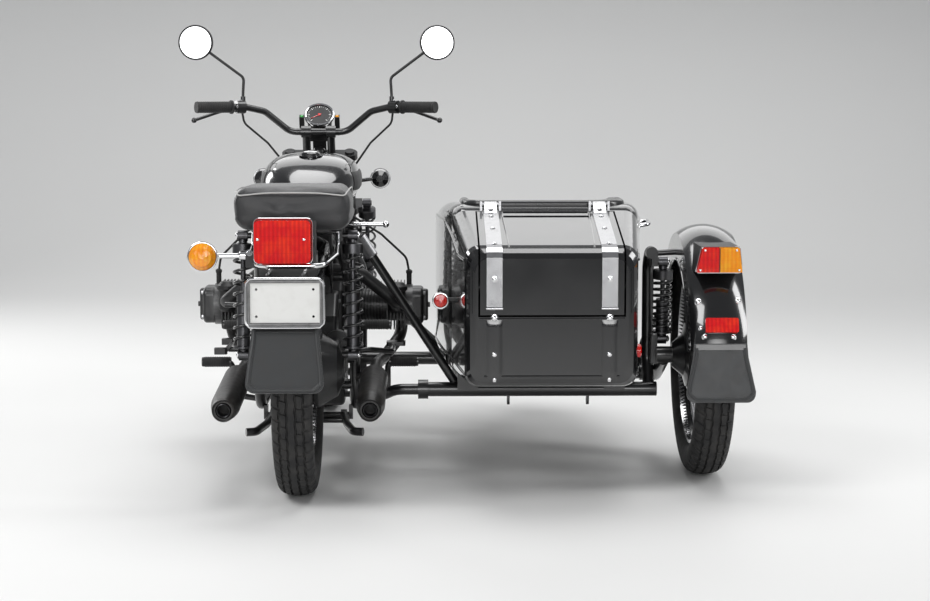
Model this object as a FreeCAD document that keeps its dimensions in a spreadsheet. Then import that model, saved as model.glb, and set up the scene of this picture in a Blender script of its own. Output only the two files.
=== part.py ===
import FreeCAD, Part
import math
import os
import Sketcher

# A three-wheeled outfit: a flat-twin motorcycle with a sidecar on its right.
# Lengths are in millimetres. Places are given from the point on the floor below the rear axle,
# x to the right, y forwards and z up, and every piece is then moved by the same step, so that
# the row frame's origin lies on the floor under the middle of the whole outfit.

Vector = FreeCAD.Vector
Placement = FreeCAD.Placement
Rotation = FreeCAD.Rotation
RIGHT, FORWARD, UP = Vector(1, 0, 0), Vector(0, 1, 0), Vector(0, 0, 1)
SEAM = 37  # degrees round to the seam of a turned solid, away from the planes its neighbours meet it in

SIZES = [
    # the outfit
    ("outfit_centre_x", 405, "from the motorcycle's middle plane to the middle of the whole outfit"),
    ("outfit_centre_y", 712, "from the rear axle to the middle of the whole outfit"),
    ("wheelbase", 1500, "rear axle to front axle"),
    ("track", 1148, "motorcycle's middle plane to the sidecar wheel's"),
    ("wheel_lead", 280, "sidecar axle ahead of the rear axle"),
    # the wheels, all three alike
    ("wheel_radius", 345, "outside of the tyre"),
    ("tyre_half_width", 54, ""),
    ("crown_half_width", 27, "flat middle of the tyre's tread"),
    ("bead_radius", 256, "where the tyre sits on the rim"),
    ("bead_half_width", 36, ""),
    ("rim_wall", 9, "thickness of the rim's edges"),
    ("rim_well", 9, "depth of the rim's well below its edges"),
    ("hub_radius", 104, "full-width hub with the brake drum in it"),
    ("hub_half_width", 40, ""),
    ("drum_radius", 98, "inside of the brake drum"),
    ("drum_depth", 24, ""),
    ("hub_nose", 50, "end of the hub's bearing boss from its middle"),
    ("hub_nose_radius", 26, ""),
    ("axle_radius", 9, ""),
    ("axle_clearance", 0.05, "between axle and hub"),
    ("spoke_radius", 2, ""),
    ("spoke_count", 40, ""),
    ("spoke_lean", 15, "degrees that a spoke leans from hub to rim"),
    ("brake_gap", 6, "between brake plate and drum"),
    ("disc_radius", 147, "front brake disc"),
    ("disc_thickness", 5, ""),
    # the motorcycle's frame
    ("rail_radius", 16, "main frame tubes"),
    ("subframe_radius", 13, "seat rails and stays"),
    ("rail_half_gap", 140, "lower rails from the middle plane"),
    ("rail_height", 175, "lower rails above the floor"),
    ("rail_front", 1045, ""),
    ("upright_y", 398, "rear uprights ahead of the rear axle"),
    ("seat_rail_half_gap", 112, ""),
    ("seat_rail_height", 740, ""),
    ("seat_rail_back", -112, "rear end of the seat rails' loop"),
    ("backbone_radius", 19, ""),
    ("head_tube_radius", 27, ""),
    ("head_tube_length", 171, ""),
    ("stem_radius", 17.9, "steering stem"),
    ("stem_clearance", 0.1, ""),
    ("rake", 26, "degrees of the steering axis from upright"),
    ("head_y", 1146, "steering axis at the upper yoke"),
    ("head_z", 870, ""),
    # the engine
    ("case_half_width", 100, "engine case"),
    ("case_back", 600, ""),
    ("case_front", 940, ""),
    ("case_bottom", 140, ""),
    ("case_top", 560, ""),
    ("cylinder_height", 440, "cylinder axes above the floor"),
    ("cylinder_right_y", 745, ""),
    ("cylinder_left_y", 780, ""),
    ("lead_radius", 3.5, "spark leads and control cables"),
    ("fin_radius", 72, "cylinder fins"),
    ("fin_thickness", 2.6, ""),
    ("fin_pitch", 9.5, ""),
    ("barrel_radius", 50, ""),
    ("head_start", 228, "cylinder head from the middle plane"),
    ("head_length", 80, ""),
    ("head_half_size", 72, ""),
    ("rocker_depth", 48, ""),
    ("gearbox_half_width", 85, ""),
    ("gearbox_back", 432, ""),
    ("gearbox_bottom", 215, ""),
    ("gearbox_top", 500, ""),
    # the exhaust
    ("pipe_radius", 19, ""),
    ("pipe_x", 198, ""),
    ("muffler_radius", 40, ""),
    ("muffler_length", 495, ""),
    ("muffler_front_y", 395, ""),
    ("muffler_front_z", 276, ""),
    ("muffler_drop", 3.4, "degrees that the mufflers drop to the rear"),
    # the rear suspension
    ("pivot_y", 392, "swing arm pivot"),
    ("pivot_z", 325, ""),
    ("swing_arm_radius", 16, ""),
    ("swing_arm_x", 99, ""),
    ("drive_inner_x", 46, "final drive housing"),
    ("drive_outer_x", 126, ""),
    ("drive_radius", 104, ""),
    ("damper_x", 150, "rear dampers from the middle plane"),
    ("damper_bottom_z", 385, ""),
    ("damper_top_z", 712, ""),
    ("damper_top_y", 20, ""),
    ("damper_body_radius", 18, ""),
    ("spring_radius", 25, "to the middle of the wire"),
    ("spring_wire", 4, ""),
    ("spring_turns", 8, ""),
    ("eye_radius", 15, ""),
    ("stud_radius", 8, ""),
    # the front fork
    ("leg_x", 98, ""),
    ("leg_radius", 16, ""),
    ("leg_offset", 30, "legs ahead of the steering axis"),
    ("yoke_drop", 200, "from upper to lower yoke"),
    ("yoke_thickness", 20, ""),
    ("front_damper_x", 150, ""),
    # the fenders
    ("fender_gap", 31, "inside of the fender from the tyre"),
    ("fender_wall", 3, ""),
    ("rear_fender_half_width", 80, ""),
    ("front_fender_half_width", 72, ""),
    ("sidecar_fender_half_width", 77, ""),
    ("rear_skirt", 56, "depth of the fenders' sides"),
    ("front_skirt", 50, ""),
    ("sidecar_skirt", 98, ""),
    ("flap_thickness", 5, "mud flaps"),
    # the sidecar
    ("body_x", 685, "middle of the sidecar body"),
    ("body_wall", 4, ""),
    ("body_floor", 300, "underside of the body"),
    ("body_back", -190, ""),
    ("body_corner", 38, ""),
    ("cockpit_back", 214, ""),
    ("cockpit_front", 790, ""),
    ("cockpit_half_width", 222, ""),
    ("bulkhead_y", 182, "between the boot and the cockpit"),
    ("lid_half_width", 196, ""),
    ("lid_bottom", 511, ""),
    ("lid_gap", 5, "all round the boot lid"),
    ("lid_hinge_y", 176, ""),
    ("hinge_rise", 16, "hinge pins above the deck"),
    ("hinge_pin_radius", 4, ""),
    ("strap_offset", 153, "hinge straps from the middle of the lid"),
    ("strap_half_width", 21, ""),
    ("strap_thickness", 4, ""),
    ("roll_radius", 12, "padded roll round the cockpit"),
    ("chassis_radius", 21, "sidecar frame tubes"),
    ("chassis_height", 236, ""),
    ("chassis_left", 450, ""),
    ("chassis_right", 920, ""),
    ("chassis_front", 1000, ""),
    ("chassis_back", 340, ""),
    ("ball_x", 172, "ball joint of the sidecar's rear lower arm"),
    ("ball_y", 420, ""),
    ("ball_z", 197, ""),
    ("arm_x", 1036, "sidecar trailing arm"),
    ("arm_radius", 18, ""),
    ("side_damper_low_y", 324, "sidecar damper's eyes"),
    ("side_damper_low_z", 386, ""),
    ("side_damper_top_y", 304, ""),
    ("side_damper_top_z", 612, ""),
    # the tank and the bench
    ("tank_half_width", 147, ""),
    ("tank_top", 912, ""),
    ("bench_half_width", 160, ""),
    ("bench_top", 853, ""),
    ("bench_rider_top", 815, ""),
    ("bench_back", -232, ""),
    ("bench_front", 430, ""),
    ("bench_skirt", 738, "lower edge of the bench's sides"),
    ("soft_gap", 0.3, "between a soft piece and what carries it"),
    # the plate and the lamps
    ("plate_width", 178, ""),
    ("plate_height", 102, ""),
    ("plate_hole_x", 146, "between the plate's holes"),
    ("plate_hole_z", 70, ""),
    ("plate_hole_radius", 3.5, ""),
    ("plate_y", -362, ""),
    ("plate_z", 569, ""),
    ("tail_width", 145, ""),
    ("tail_height", 110, ""),
    ("tail_z", 722, ""),
    ("tail_back", -262, ""),
    ("tail_x", -18, "tail lamp from the middle plane"),
    ("plate_x", -10, "plate from the middle plane"),
    # the handlebar
    ("bar_radius", 11, ""),
    ("grip_radius", 17, ""),
    ("grip_length", 124, ""),
    ("grip_end_x", 378, "outer end of the handlebar"),
    ("grip_end_y", 966, ""),
    ("grip_z", 1048, ""),
    ("mirror_radius", 55, ""),
    ("eye_bore_radius", 6, "lashing eyes under the sidecar"),
    ("eyes_x", 706, "middle of the two eyes"),
    ("eyes_half_gap", 116, ""),
]

document = FreeCAD.newDocument("outfit")
sheet = document.addObject("Spreadsheet::Sheet", "Sizes")
for row, (alias, value, note) in enumerate(SIZES, 1):
    sheet.set(f"A{row}", alias)
    sheet.set(f"B{row}", str(value))
    sheet.set(f"C{row}", note)
    sheet.setAlias(f"B{row}", alias)
document.recompute()


class Cell:
    """A size from the sheet, or a sum of sizes, held as a number and as the words of an expression."""

    def __init__(self, value, words):
        self.value = float(value)
        self.words = words

    def joined(self, other, sign, value, turned=False):
        words = other.words if isinstance(other, Cell) else repr(float(other))
        first, second = (words, self.words) if turned else (self.words, words)
        return Cell(value, f"({first} {sign} {second})")

    def __add__(self, other):
        return self.joined(other, "+", self.value + number(other))

    def __radd__(self, other):
        return self.joined(other, "+", self.value + number(other), turned=True)

    def __sub__(self, other):
        return self.joined(other, "-", self.value - number(other))

    def __rsub__(self, other):
        return self.joined(other, "-", number(other) - self.value, turned=True)

    def __mul__(self, other):
        return self.joined(other, "*", self.value * number(other))

    def __rmul__(self, other):
        return self.joined(other, "*", self.value * number(other), turned=True)

    def __truediv__(self, other):
        return self.joined(other, "/", self.value / number(other))

    def __rtruediv__(self, other):
        return self.joined(other, "/", number(other) / self.value, turned=True)

    def __neg__(self):
        return Cell(-self.value, f"(-{self.words})")


def number(size):
    """The plain number of a cell or of a number."""
    return size.value if isinstance(size, Cell) else float(size)


class Sheet:
    """The sheet's sizes by name: cells that keep their words, or plain numbers."""

    def __init__(self, plain):
        self.plain = plain

    def __getattr__(self, name):
        value = float(sheet.get(name))
        return value if self.plain else Cell(value, f"Sizes.{name}")


cell = Sheet(plain=False)
mm = Sheet(plain=True)
ROW_STEP = Placement(Vector(-mm.outfit_centre_x, -mm.outfit_centre_y, 0), Rotation())
nodes = {}


# Helpers that make document objects

def bind(target, name, size):
    """Sets a property of an object, tied to the sheet where the size is a cell."""
    setattr(target, name, number(size))
    if isinstance(size, Cell):
        target.setExpression(name, size.words)


def keep(node, item, place=None):
    """Registers a document object as the sub-part of that name, at its place in the row frame."""
    item.Label = node
    item.Placement = ROW_STEP * (place or Placement())
    nodes[node] = item
    return item


def feature(node, shape):
    """A sub-part whose shape is worked out with Part's own functions."""
    item = document.addObject("Part::Feature", node)
    item.Shape = shape
    return keep(node, item, shape.Placement)


def gather(node, items):
    """One sub-part made of several objects that do not touch one another."""
    for item in items:
        nodes.pop(item.Label, None)
    whole = document.addObject("Part::Compound", f"{node}_set")
    whole.Links = items
    whole.Label = node
    nodes[node] = whole
    return whole


def join(node, names):
    """One sub-part made of several that touch, fused into one solid."""
    whole = document.addObject("Part::MultiFuse", f"{node}_joined")
    whole.Shapes = [nodes.pop(name) for name in names]
    whole.Label = node
    nodes[node] = whole


def largest(shape):
    """The biggest solid of a shape, without the slivers that a cut leaves inside a hollow neighbour."""
    return max(shape.Solids, key=lambda solid: solid.Volume)


def new_body(name):
    return document.addObject("PartDesign::Body", name)


def draw(body, name, role, rings, offset=None):
    """A sketch on one of a body's own planes. A ring is a list of corners, closed, each a pair of
    sizes tied to the sheet. A corner written (x, y, through) is reached by an arc through that point."""
    sketch = body.newObject("Sketcher::SketchObject", name)
    plane = next(p for p in body.Origin.OriginFeatures if p.Role == role)
    sketch.AttachmentSupport = (plane, [""])
    sketch.MapMode = "FlatFace"
    if offset is not None:
        sketch.AttachmentOffset = offset
    for ring in rings:
        if isinstance(ring, tuple):
            draw_circle(sketch, *ring)
        else:
            draw_ring(sketch, ring)
    return sketch


def pin_point(sketch, item, end, x, y):
    """Ties a sketch point to the sizes that place it."""
    for kind, size in (("DistanceX", x), ("DistanceY", y)):
        index = sketch.addConstraint(Sketcher.Constraint(kind, -1, 1, item, end, number(size)))
        if isinstance(size, Cell):
            sketch.setExpression(f"Constraints[{index}]", size.words)


def draw_ring(sketch, ring):
    count = len(ring)
    first = sketch.GeometryCount
    for i, corner in enumerate(ring):
        last = ring[i - 1]
        start = Vector(number(last[0]), number(last[1]), 0)
        end = Vector(number(corner[0]), number(corner[1]), 0)
        if len(corner) == 3:
            through = Vector(number(corner[2][0]), number(corner[2][1]), 0)
            sketch.addGeometry(Part.Arc(start, through, end), False)
        else:
            sketch.addGeometry(Part.LineSegment(start, end), False)
    # An arc of a circle runs counter-clockwise, so its ends are told apart by where they are.
    ends = []
    for i, corner in enumerate(ring):
        end = Vector(number(corner[0]), number(corner[1]), 0)
        item = first + i
        near = sketch.getPoint(item, 2).distanceToPoint(end) < 1e-6
        ends.append((item, 2, 1) if near else (item, 1, 2))
    for i, corner in enumerate(ring):
        item, end, _ = ends[i]
        following, _, start = ends[(i + 1) % count]
        sketch.addConstraint(Sketcher.Constraint("Coincident", item, end, following, start))
        pin_point(sketch, item, end, corner[0], corner[1])
    for i, corner in enumerate(ring):
        if len(corner) == 3:
            x, y = corner[2]
            mark = sketch.addGeometry(Part.Point(Vector(number(x), number(y), 0)), True)
            sketch.addConstraint(Sketcher.Constraint("PointOnObject", mark, 1, first + i))
            pin_point(sketch, mark, 1, x, y)


def draw_circle(sketch, x, y, radius):
    middle = Vector(number(x), number(y), 0)
    item = sketch.addGeometry(Part.Circle(middle, UP, number(radius)), False)
    pin_point(sketch, item, 3, x, y)
    index = sketch.addConstraint(Sketcher.Constraint("Radius", item, number(radius)))
    if isinstance(radius, Cell):
        sketch.setExpression(f"Constraints[{index}]", radius.words)


def revolve(body, name, sketch, axis, angle=360.0):
    item = body.newObject("PartDesign::Revolution", name)
    item.Profile = sketch
    item.ReferenceAxis = (sketch, [axis])
    item.Angle = angle
    sketch.Visibility = False
    return item


def pad(body, name, sketch, length, midplane=False, reverse=False):
    item = body.newObject("PartDesign::Pad", name)
    item.Profile = sketch
    bind(item, "Length", length)
    item.Midplane = midplane
    item.Reversed = reverse
    sketch.Visibility = False
    return item


def pocket(body, name, sketch, length, midplane=False, reverse=False):
    item = body.newObject("PartDesign::Pocket", name)
    item.Profile = sketch
    bind(item, "Length", length)
    item.Midplane = midplane
    item.Reversed = reverse
    sketch.Visibility = False
    return item


def row_of(body, name, original, sketch, axis, length, count):
    item = body.newObject("PartDesign::LinearPattern", name)
    item.Originals = [original]
    item.Direction = (sketch, [axis])
    bind(item, "Length", length)
    item.Occurrences = count
    body.Tip = item
    return item


def round_edges(body, name, radius, wanted):
    """Fillets the edges of the body's tip that a test picks out."""
    document.recompute()
    tip = body.Tip
    picked = [f"Edge{i}" for i, edge in enumerate(tip.Shape.Edges, 1) if wanted(edge)]
    item = body.newObject("PartDesign::Fillet", name)
    item.Base = (tip, picked)
    bind(item, "Radius", radius)
    return item


def cut(name, base, tools):
    """A Part cut of one object by one or more others."""
    if len(tools) > 1:
        together = document.addObject("Part::MultiFuse", name + "_tools")
        together.Shapes = tools
        tool = together
    else:
        tool = tools[0]
    item = document.addObject("Part::Cut", name)
    item.Base = base
    item.Tool = tool
    return item


# Helpers that make plain shapes

def v(x, y, z):
    return Vector(x, y, z)


def rounded_path(points, bend, closed=False):
    """Straight runs joined by tangent arcs, as large as the bend asked for or as the runs allow."""
    count = len(points)
    inner = range(count) if closed else range(1, count - 1)
    turns = {}
    for i in inner:
        before = points[i - 1] - points[i]
        after = points[(i + 1) % count] - points[i]
        room = 0.47 * min(before.Length, after.Length)
        before.normalize()
        after.normalize()
        half_turn = (math.pi - before.getAngle(after)) / 2
        if half_turn < 0.005:
            continue
        reach = min(bend * math.tan(half_turn), room)
        radius = reach / math.tan(half_turn)
        inward = (before + after).normalize()
        middle = points[i] + inward * (radius / math.cos(half_turn) - radius)
        turns[i] = (points[i] + before * reach, middle, points[i] + after * reach)
    edges = []
    last = turns[0][2] if closed and 0 in turns else points[0]
    order = list(range(1, count)) + ([0] if closed else [])
    for i in order:
        if i in turns:
            start, middle, end = turns[i]
            edges.append(Part.LineSegment(last, start).toShape())
            edges.append(Part.Arc(start, middle, end).toShape())
            last = end
        else:
            edges.append(Part.LineSegment(last, points[i]).toShape())
            last = points[i]
    return Part.Wire(edges)


def tube(points, radius, bend=60.0, closed=False):
    """A round bar or tube bent along a path."""
    path = rounded_path(points, bend, closed)
    first = path.Edges[0]
    start = first.valueAt(first.FirstParameter)
    along = first.tangentAt(first.FirstParameter)
    profile = Part.Wire([Part.Circle(start, along, radius).toShape()])
    return path.makePipeShell([profile], True, closed)


def bar(start, end, radius):
    along = end - start
    return Part.makeCylinder(radius, along.Length, start, along)


def block(low, high):
    size = high - low
    return Part.makeBox(size.x, size.y, size.z, low)


def fused(shapes):
    whole = shapes[0].multiFuse(shapes[1:]) if len(shapes) > 1 else shapes[0]
    largest = max(shape.Volume for shape in shapes)
    if whole.isNull() or not whole.isValid() or whole.Volume < 0.999 * largest:
        raise RuntimeError("a fusion lost material")
    return whole.removeSplitter()


def mirrored(shape):
    """The same shape on the other side of the motorcycle's middle plane."""
    return shape.mirror(Vector(0, 0, 0), RIGHT)


def both(shape):
    return [shape, mirrored(shape)]


def together(shapes):
    return Part.makeCompound(shapes)


def turned(shape, axis, degrees, about=Vector(0, 0, 0)):
    moved = shape.copy()
    moved.rotate(about, axis, degrees)
    return moved


def solid_of_revolution(outline, start, axis):
    """Turns an outline of (along, radius) pairs about an axis through a start point."""
    points = [Vector(a, r, 0) for a, r in outline]
    face = Part.Face(Part.makePolygon(points + points[:1]))
    face.rotate(Vector(0, 0, 0), RIGHT, SEAM)
    solid = face.revolve(Vector(0, 0, 0), RIGHT, 360)
    solid.Placement = Placement(start, Rotation(RIGHT, axis))
    return solid


def steer(x, ahead, up):
    """A point given from where the steering axis meets the upper yoke: ahead is square to the
    axis, and up runs along it."""
    lean = math.radians(mm.rake)
    return Vector(x, mm.head_y + ahead * math.cos(lean) - up * math.sin(lean),
                  mm.head_z + ahead * math.sin(lean) + up * math.cos(lean))


def along_steering():
    return steer(0, 0, 1) - steer(0, 0, 0)


def in_steering_frame(shape):
    """Moves a shape drawn upright about the origin to the steering axis."""
    moved = shape.copy()
    moved.Placement = Placement(steer(0, 0, 0), Rotation(RIGHT, mm.rake)) * moved.Placement
    return moved


# Wheels

WHEELS = {
    "front": (Vector(0, mm.wheelbase, mm.wheel_radius), 1),
    "rear": (Vector(0, 0, mm.wheel_radius), 1),
    "sidecar": (Vector(mm.track, mm.wheel_lead, mm.wheel_radius), -1),
}


def make_tyre(name, middle):
    body = new_body(f"{name}_tyre_body")
    half, bead, radius = cell.bead_half_width, cell.bead_radius, cell.wheel_radius
    wide = cell.tyre_half_width
    crown = cell.crown_half_width
    section = [
        (half, bead), (wide, radius - 44), (crown, radius), (-crown, radius),
        (-wide, radius - 44), (-half, bead),
    ]
    sketch = draw(body, f"{name}_tyre_section", "XY_Plane", [section])
    revolve(body, f"{name}_tyre_turned", sketch, "H_Axis")
    return keep(f"{name}_tyre", body, Placement(middle, Rotation()))


def make_wheel(name, middle, side):
    """Rim, full-width hub and laced spokes. The drum opens to the side that is named: 1 is right."""
    rim = new_body(f"{name}_rim_body")
    half, seat = cell.bead_half_width, cell.bead_radius
    edge = seat - cell.rim_wall
    well = edge - cell.rim_well
    section = [
        (-half - 2, seat), (half + 2, seat), (half + 2, edge), (half - 14, edge - 3),
        (9.0, well), (-9.0, well), (14 - half, edge - 3), (-half - 2, edge),
    ]
    sketch = draw(rim, f"{name}_rim_section", "XY_Plane", [section])
    revolve(rim, f"{name}_rim_turned", sketch, "H_Axis")
    hub = new_body(f"{name}_hub_body")
    bore = cell.axle_radius + cell.axle_clearance
    outer, edge, nose, boss = cell.hub_radius, cell.hub_half_width, cell.hub_nose, cell.hub_nose_radius
    drum, depth = cell.drum_radius, cell.drum_depth
    profile = [
        (-nose, bore), (-nose, boss), (8 - edge, boss + 8), (2 - edge, outer - 14), (-edge, outer - 6),
        (4 - edge, outer), (14 - edge, outer), (18 - edge, outer - 10), (edge - depth - 8, outer - 10),
        (edge - depth - 4, outer), (edge, outer), (edge, drum), (edge - depth, drum),
        (edge - depth, boss), (edge - 8, boss), (edge - 8, bore),
    ]
    if side < 0:
        profile = [(-along, radius) for along, radius in profile]
    hub_sketch = draw(hub, f"{name}_hub_section", "XY_Plane", [profile])
    revolve(hub, f"{name}_hub_turned", hub_sketch, "H_Axis")
    spokes = document.addObject("Part::Feature", f"{name}_spokes")
    spokes.Shape = spoke_set()
    document.recompute()
    whole = document.addObject("Part::MultiFuse", f"{name}_wheel_whole")
    whole.Shapes = [rim, hub, spokes]
    return keep(f"{name}_wheel", whole, Placement(middle, Rotation()))


def spoke_set():
    """Spokes from both hub edges to the middle of the rim, leaning in turn each way."""
    count = int(mm.spoke_count)
    spokes = []
    for i in range(count):
        edge = 1 if i % 2 else -1
        lean = 1 if i % 4 < 2 else -1
        foot_angle = 360.0 / count * i
        tip_angle = foot_angle + lean * mm.spoke_lean
        foot = (edge * (mm.hub_half_width - 8), mm.hub_radius - 3, foot_angle)
        tip = (edge * 5, mm.bead_radius - mm.rim_wall - mm.rim_well + 3, tip_angle)
        ends = []
        for across, radius, angle in (foot, tip):
            bearing = math.radians(angle)
            ends.append(Vector(across, radius * math.cos(bearing), radius * math.sin(bearing)))
        spokes.append(bar(ends[0], ends[1], mm.spoke_radius))
    return together(spokes)


def make_disc():
    """Front brake disc with its carrier, bolted to the left of the hub."""
    body = new_body("front_disc_body")
    start = -cell.hub_nose - 1
    thick, radius = cell.disc_thickness, cell.disc_radius
    edge, boss = cell.hub_half_width, cell.hub_nose_radius + 8
    slope = 6 / (cell.hub_radius - 14 - boss)
    outer = 7.8 - edge - slope * (58.0 - boss)
    inner = 7.8 - edge - slope * (50.0 - boss)
    section = [
        (start - thick, 28.0), (start - thick, radius), (start, radius), (start, 62.0),
        (outer, 58.0), (inner, 50.0), (start, 46.0), (start, 28.0),
    ]
    sketch = draw(body, "front_disc_section", "XY_Plane", [section])
    revolve(body, "front_disc_turned", sketch, "H_Axis")
    windows = document.addObject("Part::Feature", "front_disc_windows")
    holes = []
    for i in range(6):
        hole = Part.makeCylinder(17, 30, Vector(-80, 88, 0), RIGHT)
        holes.append(turned(hole, RIGHT, 60.0 * i))
    windows.Shape = together(holes)
    document.recompute()
    return keep("front_disc", cut("front_disc_cut", body, [windows]),
                Placement(WHEELS["front"][0], Rotation()))


# The motorcycle's frame

def make_frame():
    rail, small = mm.rail_radius, mm.subframe_radius
    gap, low, back = mm.rail_half_gap, mm.rail_height, mm.upright_y
    seat_x, seat_z = mm.seat_rail_half_gap, mm.seat_rail_height
    shapes = []
    cradle = [steer(16, 0, -150), v(gap, 1112, 520), v(gap, mm.rail_front, low), v(gap, back, low),
              v(gap, back + 2, 560), v(46, back + 8, 704)]
    shapes += both(tube(cradle, rail, 70))
    backbone = [steer(0, 0, -52), v(0, 700, 752), v(0, back + 6, 704)]
    shapes.append(tube(backbone, mm.backbone_radius, 200))
    shapes.append(tube([steer(0, 0, -130), v(0, 1120, 668), v(0, 900, 742)], small, 80))
    seat_rail = [v(seat_x, mm.seat_rail_back, seat_z), v(seat_x, 300, seat_z - 2), v(30, back + 6, 704)]
    seat_loop = [v(-p.x, p.y, p.z) for p in reversed(seat_rail)] + seat_rail
    shapes.append(tube(seat_loop, small, 60))
    stay = [v(gap, back, 400), v(seat_x, mm.damper_top_y + 40, seat_z - 6)]
    shapes += both(bar(stay[0], stay[1], small))
    for y, z in ((mm.rail_front - 12, low + 12), (back + 2, 560), (back, low + 66)):
        shapes.append(bar(v(-gap, y, z), v(gap, y, z), small))
    stud = [v(seat_x - 4, mm.damper_top_y, mm.damper_top_z), v(mm.damper_x + 16, mm.damper_top_y, mm.damper_top_z)]
    shapes += both(bar(stud[0], stud[1], mm.stud_radius))
    lug = block(v(seat_x - 12, mm.damper_top_y - 20, mm.damper_top_z - 14),
                v(seat_x + 10, mm.damper_top_y + 46, seat_z))
    shapes += both(lug)
    shapes += sidecar_lugs() + stand_lugs()
    shapes.append(bar(v(-62, 1000, 772), v(62, 1000, 772), 9))
    shapes.append(block(v(-22, 988, 735), v(22, 1012, 775)))
    shapes.append(bar(v(-62, 470, 762), v(62, 470, 762), 9))
    shapes.append(block(v(-14, 460, 705), v(14, 480, 764)))
    head_start = steer(0, 0, -12 - mm.head_tube_length)
    shapes.append(Part.makeCylinder(mm.head_tube_radius, mm.head_tube_length, head_start, along_steering()))
    whole = fused(shapes)
    bore = Part.makeCylinder(mm.stem_radius + mm.stem_clearance, mm.head_tube_length + 80,
                             steer(0, 0, -52 - mm.head_tube_length), along_steering())
    return feature("frame", whole.cut(bore))


def sidecar_lugs():
    """The four places where the sidecar is fastened to the motorcycle's frame."""
    gap = mm.rail_half_gap
    lugs = []
    y = mm.chassis_front
    lugs.append(block(v(gap - 10, y - 20, mm.rail_height), v(gap + 16, y + 20, mm.chassis_height + 16)))
    lugs.append(bar(v(gap - 4, mm.ball_y, mm.ball_z), v(mm.ball_x, mm.ball_y, mm.ball_z), 10))
    lugs.append(bar(v(gap - 8, 1095, 460), v(gap + 34, 1095, 460), 12))
    lugs.append(bar(v(mm.seat_rail_half_gap, 262, 712), v(mm.seat_rail_half_gap + 32, 262, 712), 12))
    lugs.append(block(v(mm.seat_rail_half_gap - 10, 248, 700), v(mm.seat_rail_half_gap + 8, 276, 738)))
    return lugs


def stand_lugs():
    """Two plates below the lower rails, and the pin that the centre stand turns on."""
    shapes = []
    for side in (1, -1):
        near, far = side * (mm.rail_half_gap - 20), side * (mm.rail_half_gap - 8)
        shapes.append(block(v(min(near, far), 424, 134), v(max(near, far), 452, mm.rail_height)))
    shapes.append(bar(v(-mm.rail_half_gap + 8, 438, 146), v(mm.rail_half_gap - 8, 438, 146), 8))
    return shapes


# The engine, gearbox and exhaust

def make_engine():
    body = new_body("engine_case_body")
    back, front, low, top = cell.case_back, cell.case_front, cell.case_bottom, cell.case_top
    outline = [
        (back, low + 80), (back + 34, low + 8), (back + 44, low), (front - 50, low), (front - 40, low + 8),
        (front, low + 92), (front, top - 80), (front - 38, top - 8), (back + 170, top + 6),
        (back + 40, top - 8), (back, top - 60),
    ]
    sketch = draw(body, "case_outline", "YZ_Plane", [outline])
    pad(body, "case_pad", sketch, 2 * cell.case_half_width, midplane=True)
    round_edges(body, "case_rounds", 14, lambda e: abs(abs(e.CenterOfMass.x) - mm.case_half_width) < 0.1)
    cover = draw(body, "cover_outline", "XZ_Plane", [(0.0, cell.cylinder_height - 25, 88.0)],
                 Placement(Vector(0, 0, -mm.case_front), Rotation()))
    pad(body, "timing_cover", cover, 26, reverse=True)
    generator = draw(body, "generator_outline", "XZ_Plane", [(0.0, top + 22, 56.0)],
                     Placement(Vector(0, 0, -mm.case_back - 190), Rotation()))
    pad(body, "generator", generator, 170, reverse=True)
    document.recompute()
    bolts = document.addObject("Part::Feature", "engine_bolts")
    places = ((mm.case_front - 46, mm.case_bottom + 52), (mm.case_back + 40, mm.case_bottom + 40))
    bolts.Shape = together([
        bar(v(-mm.rail_half_gap, y, mm.rail_height), v(mm.rail_half_gap, y, mm.rail_height), 9)
        for y, _ in places])
    whole = document.addObject("Part::MultiFuse", "engine_whole")
    whole.Shapes = [body, bolts]
    return whole


def make_gearbox():
    body = new_body("gearbox_body")
    back, front, low, top = cell.gearbox_back, cell.case_back, cell.gearbox_bottom, cell.gearbox_top
    outline = [
        (back, low + 60), (back + 46, low), (front, low), (front, top),
        (back + 84, top), (back + 10, top - 60), (back, top - 76),
    ]
    sketch = draw(body, "gearbox_outline", "YZ_Plane", [outline])
    pad(body, "gearbox_pad", sketch, 2 * cell.gearbox_half_width, midplane=True)
    round_edges(body, "gearbox_rounds", 10,
                lambda e: abs(abs(e.CenterOfMass.x) - mm.gearbox_half_width) < 0.1 and e.CenterOfMass.y < 590)
    coupling = draw(body, "coupling_outline", "XZ_Plane", [(86.0, 366.0, 34.0)],
                    Placement(Vector(0, 0, -mm.gearbox_back + 12), Rotation()))
    pad(body, "coupling", coupling, 30, reverse=True)
    return keep("gearbox", body)


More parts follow.
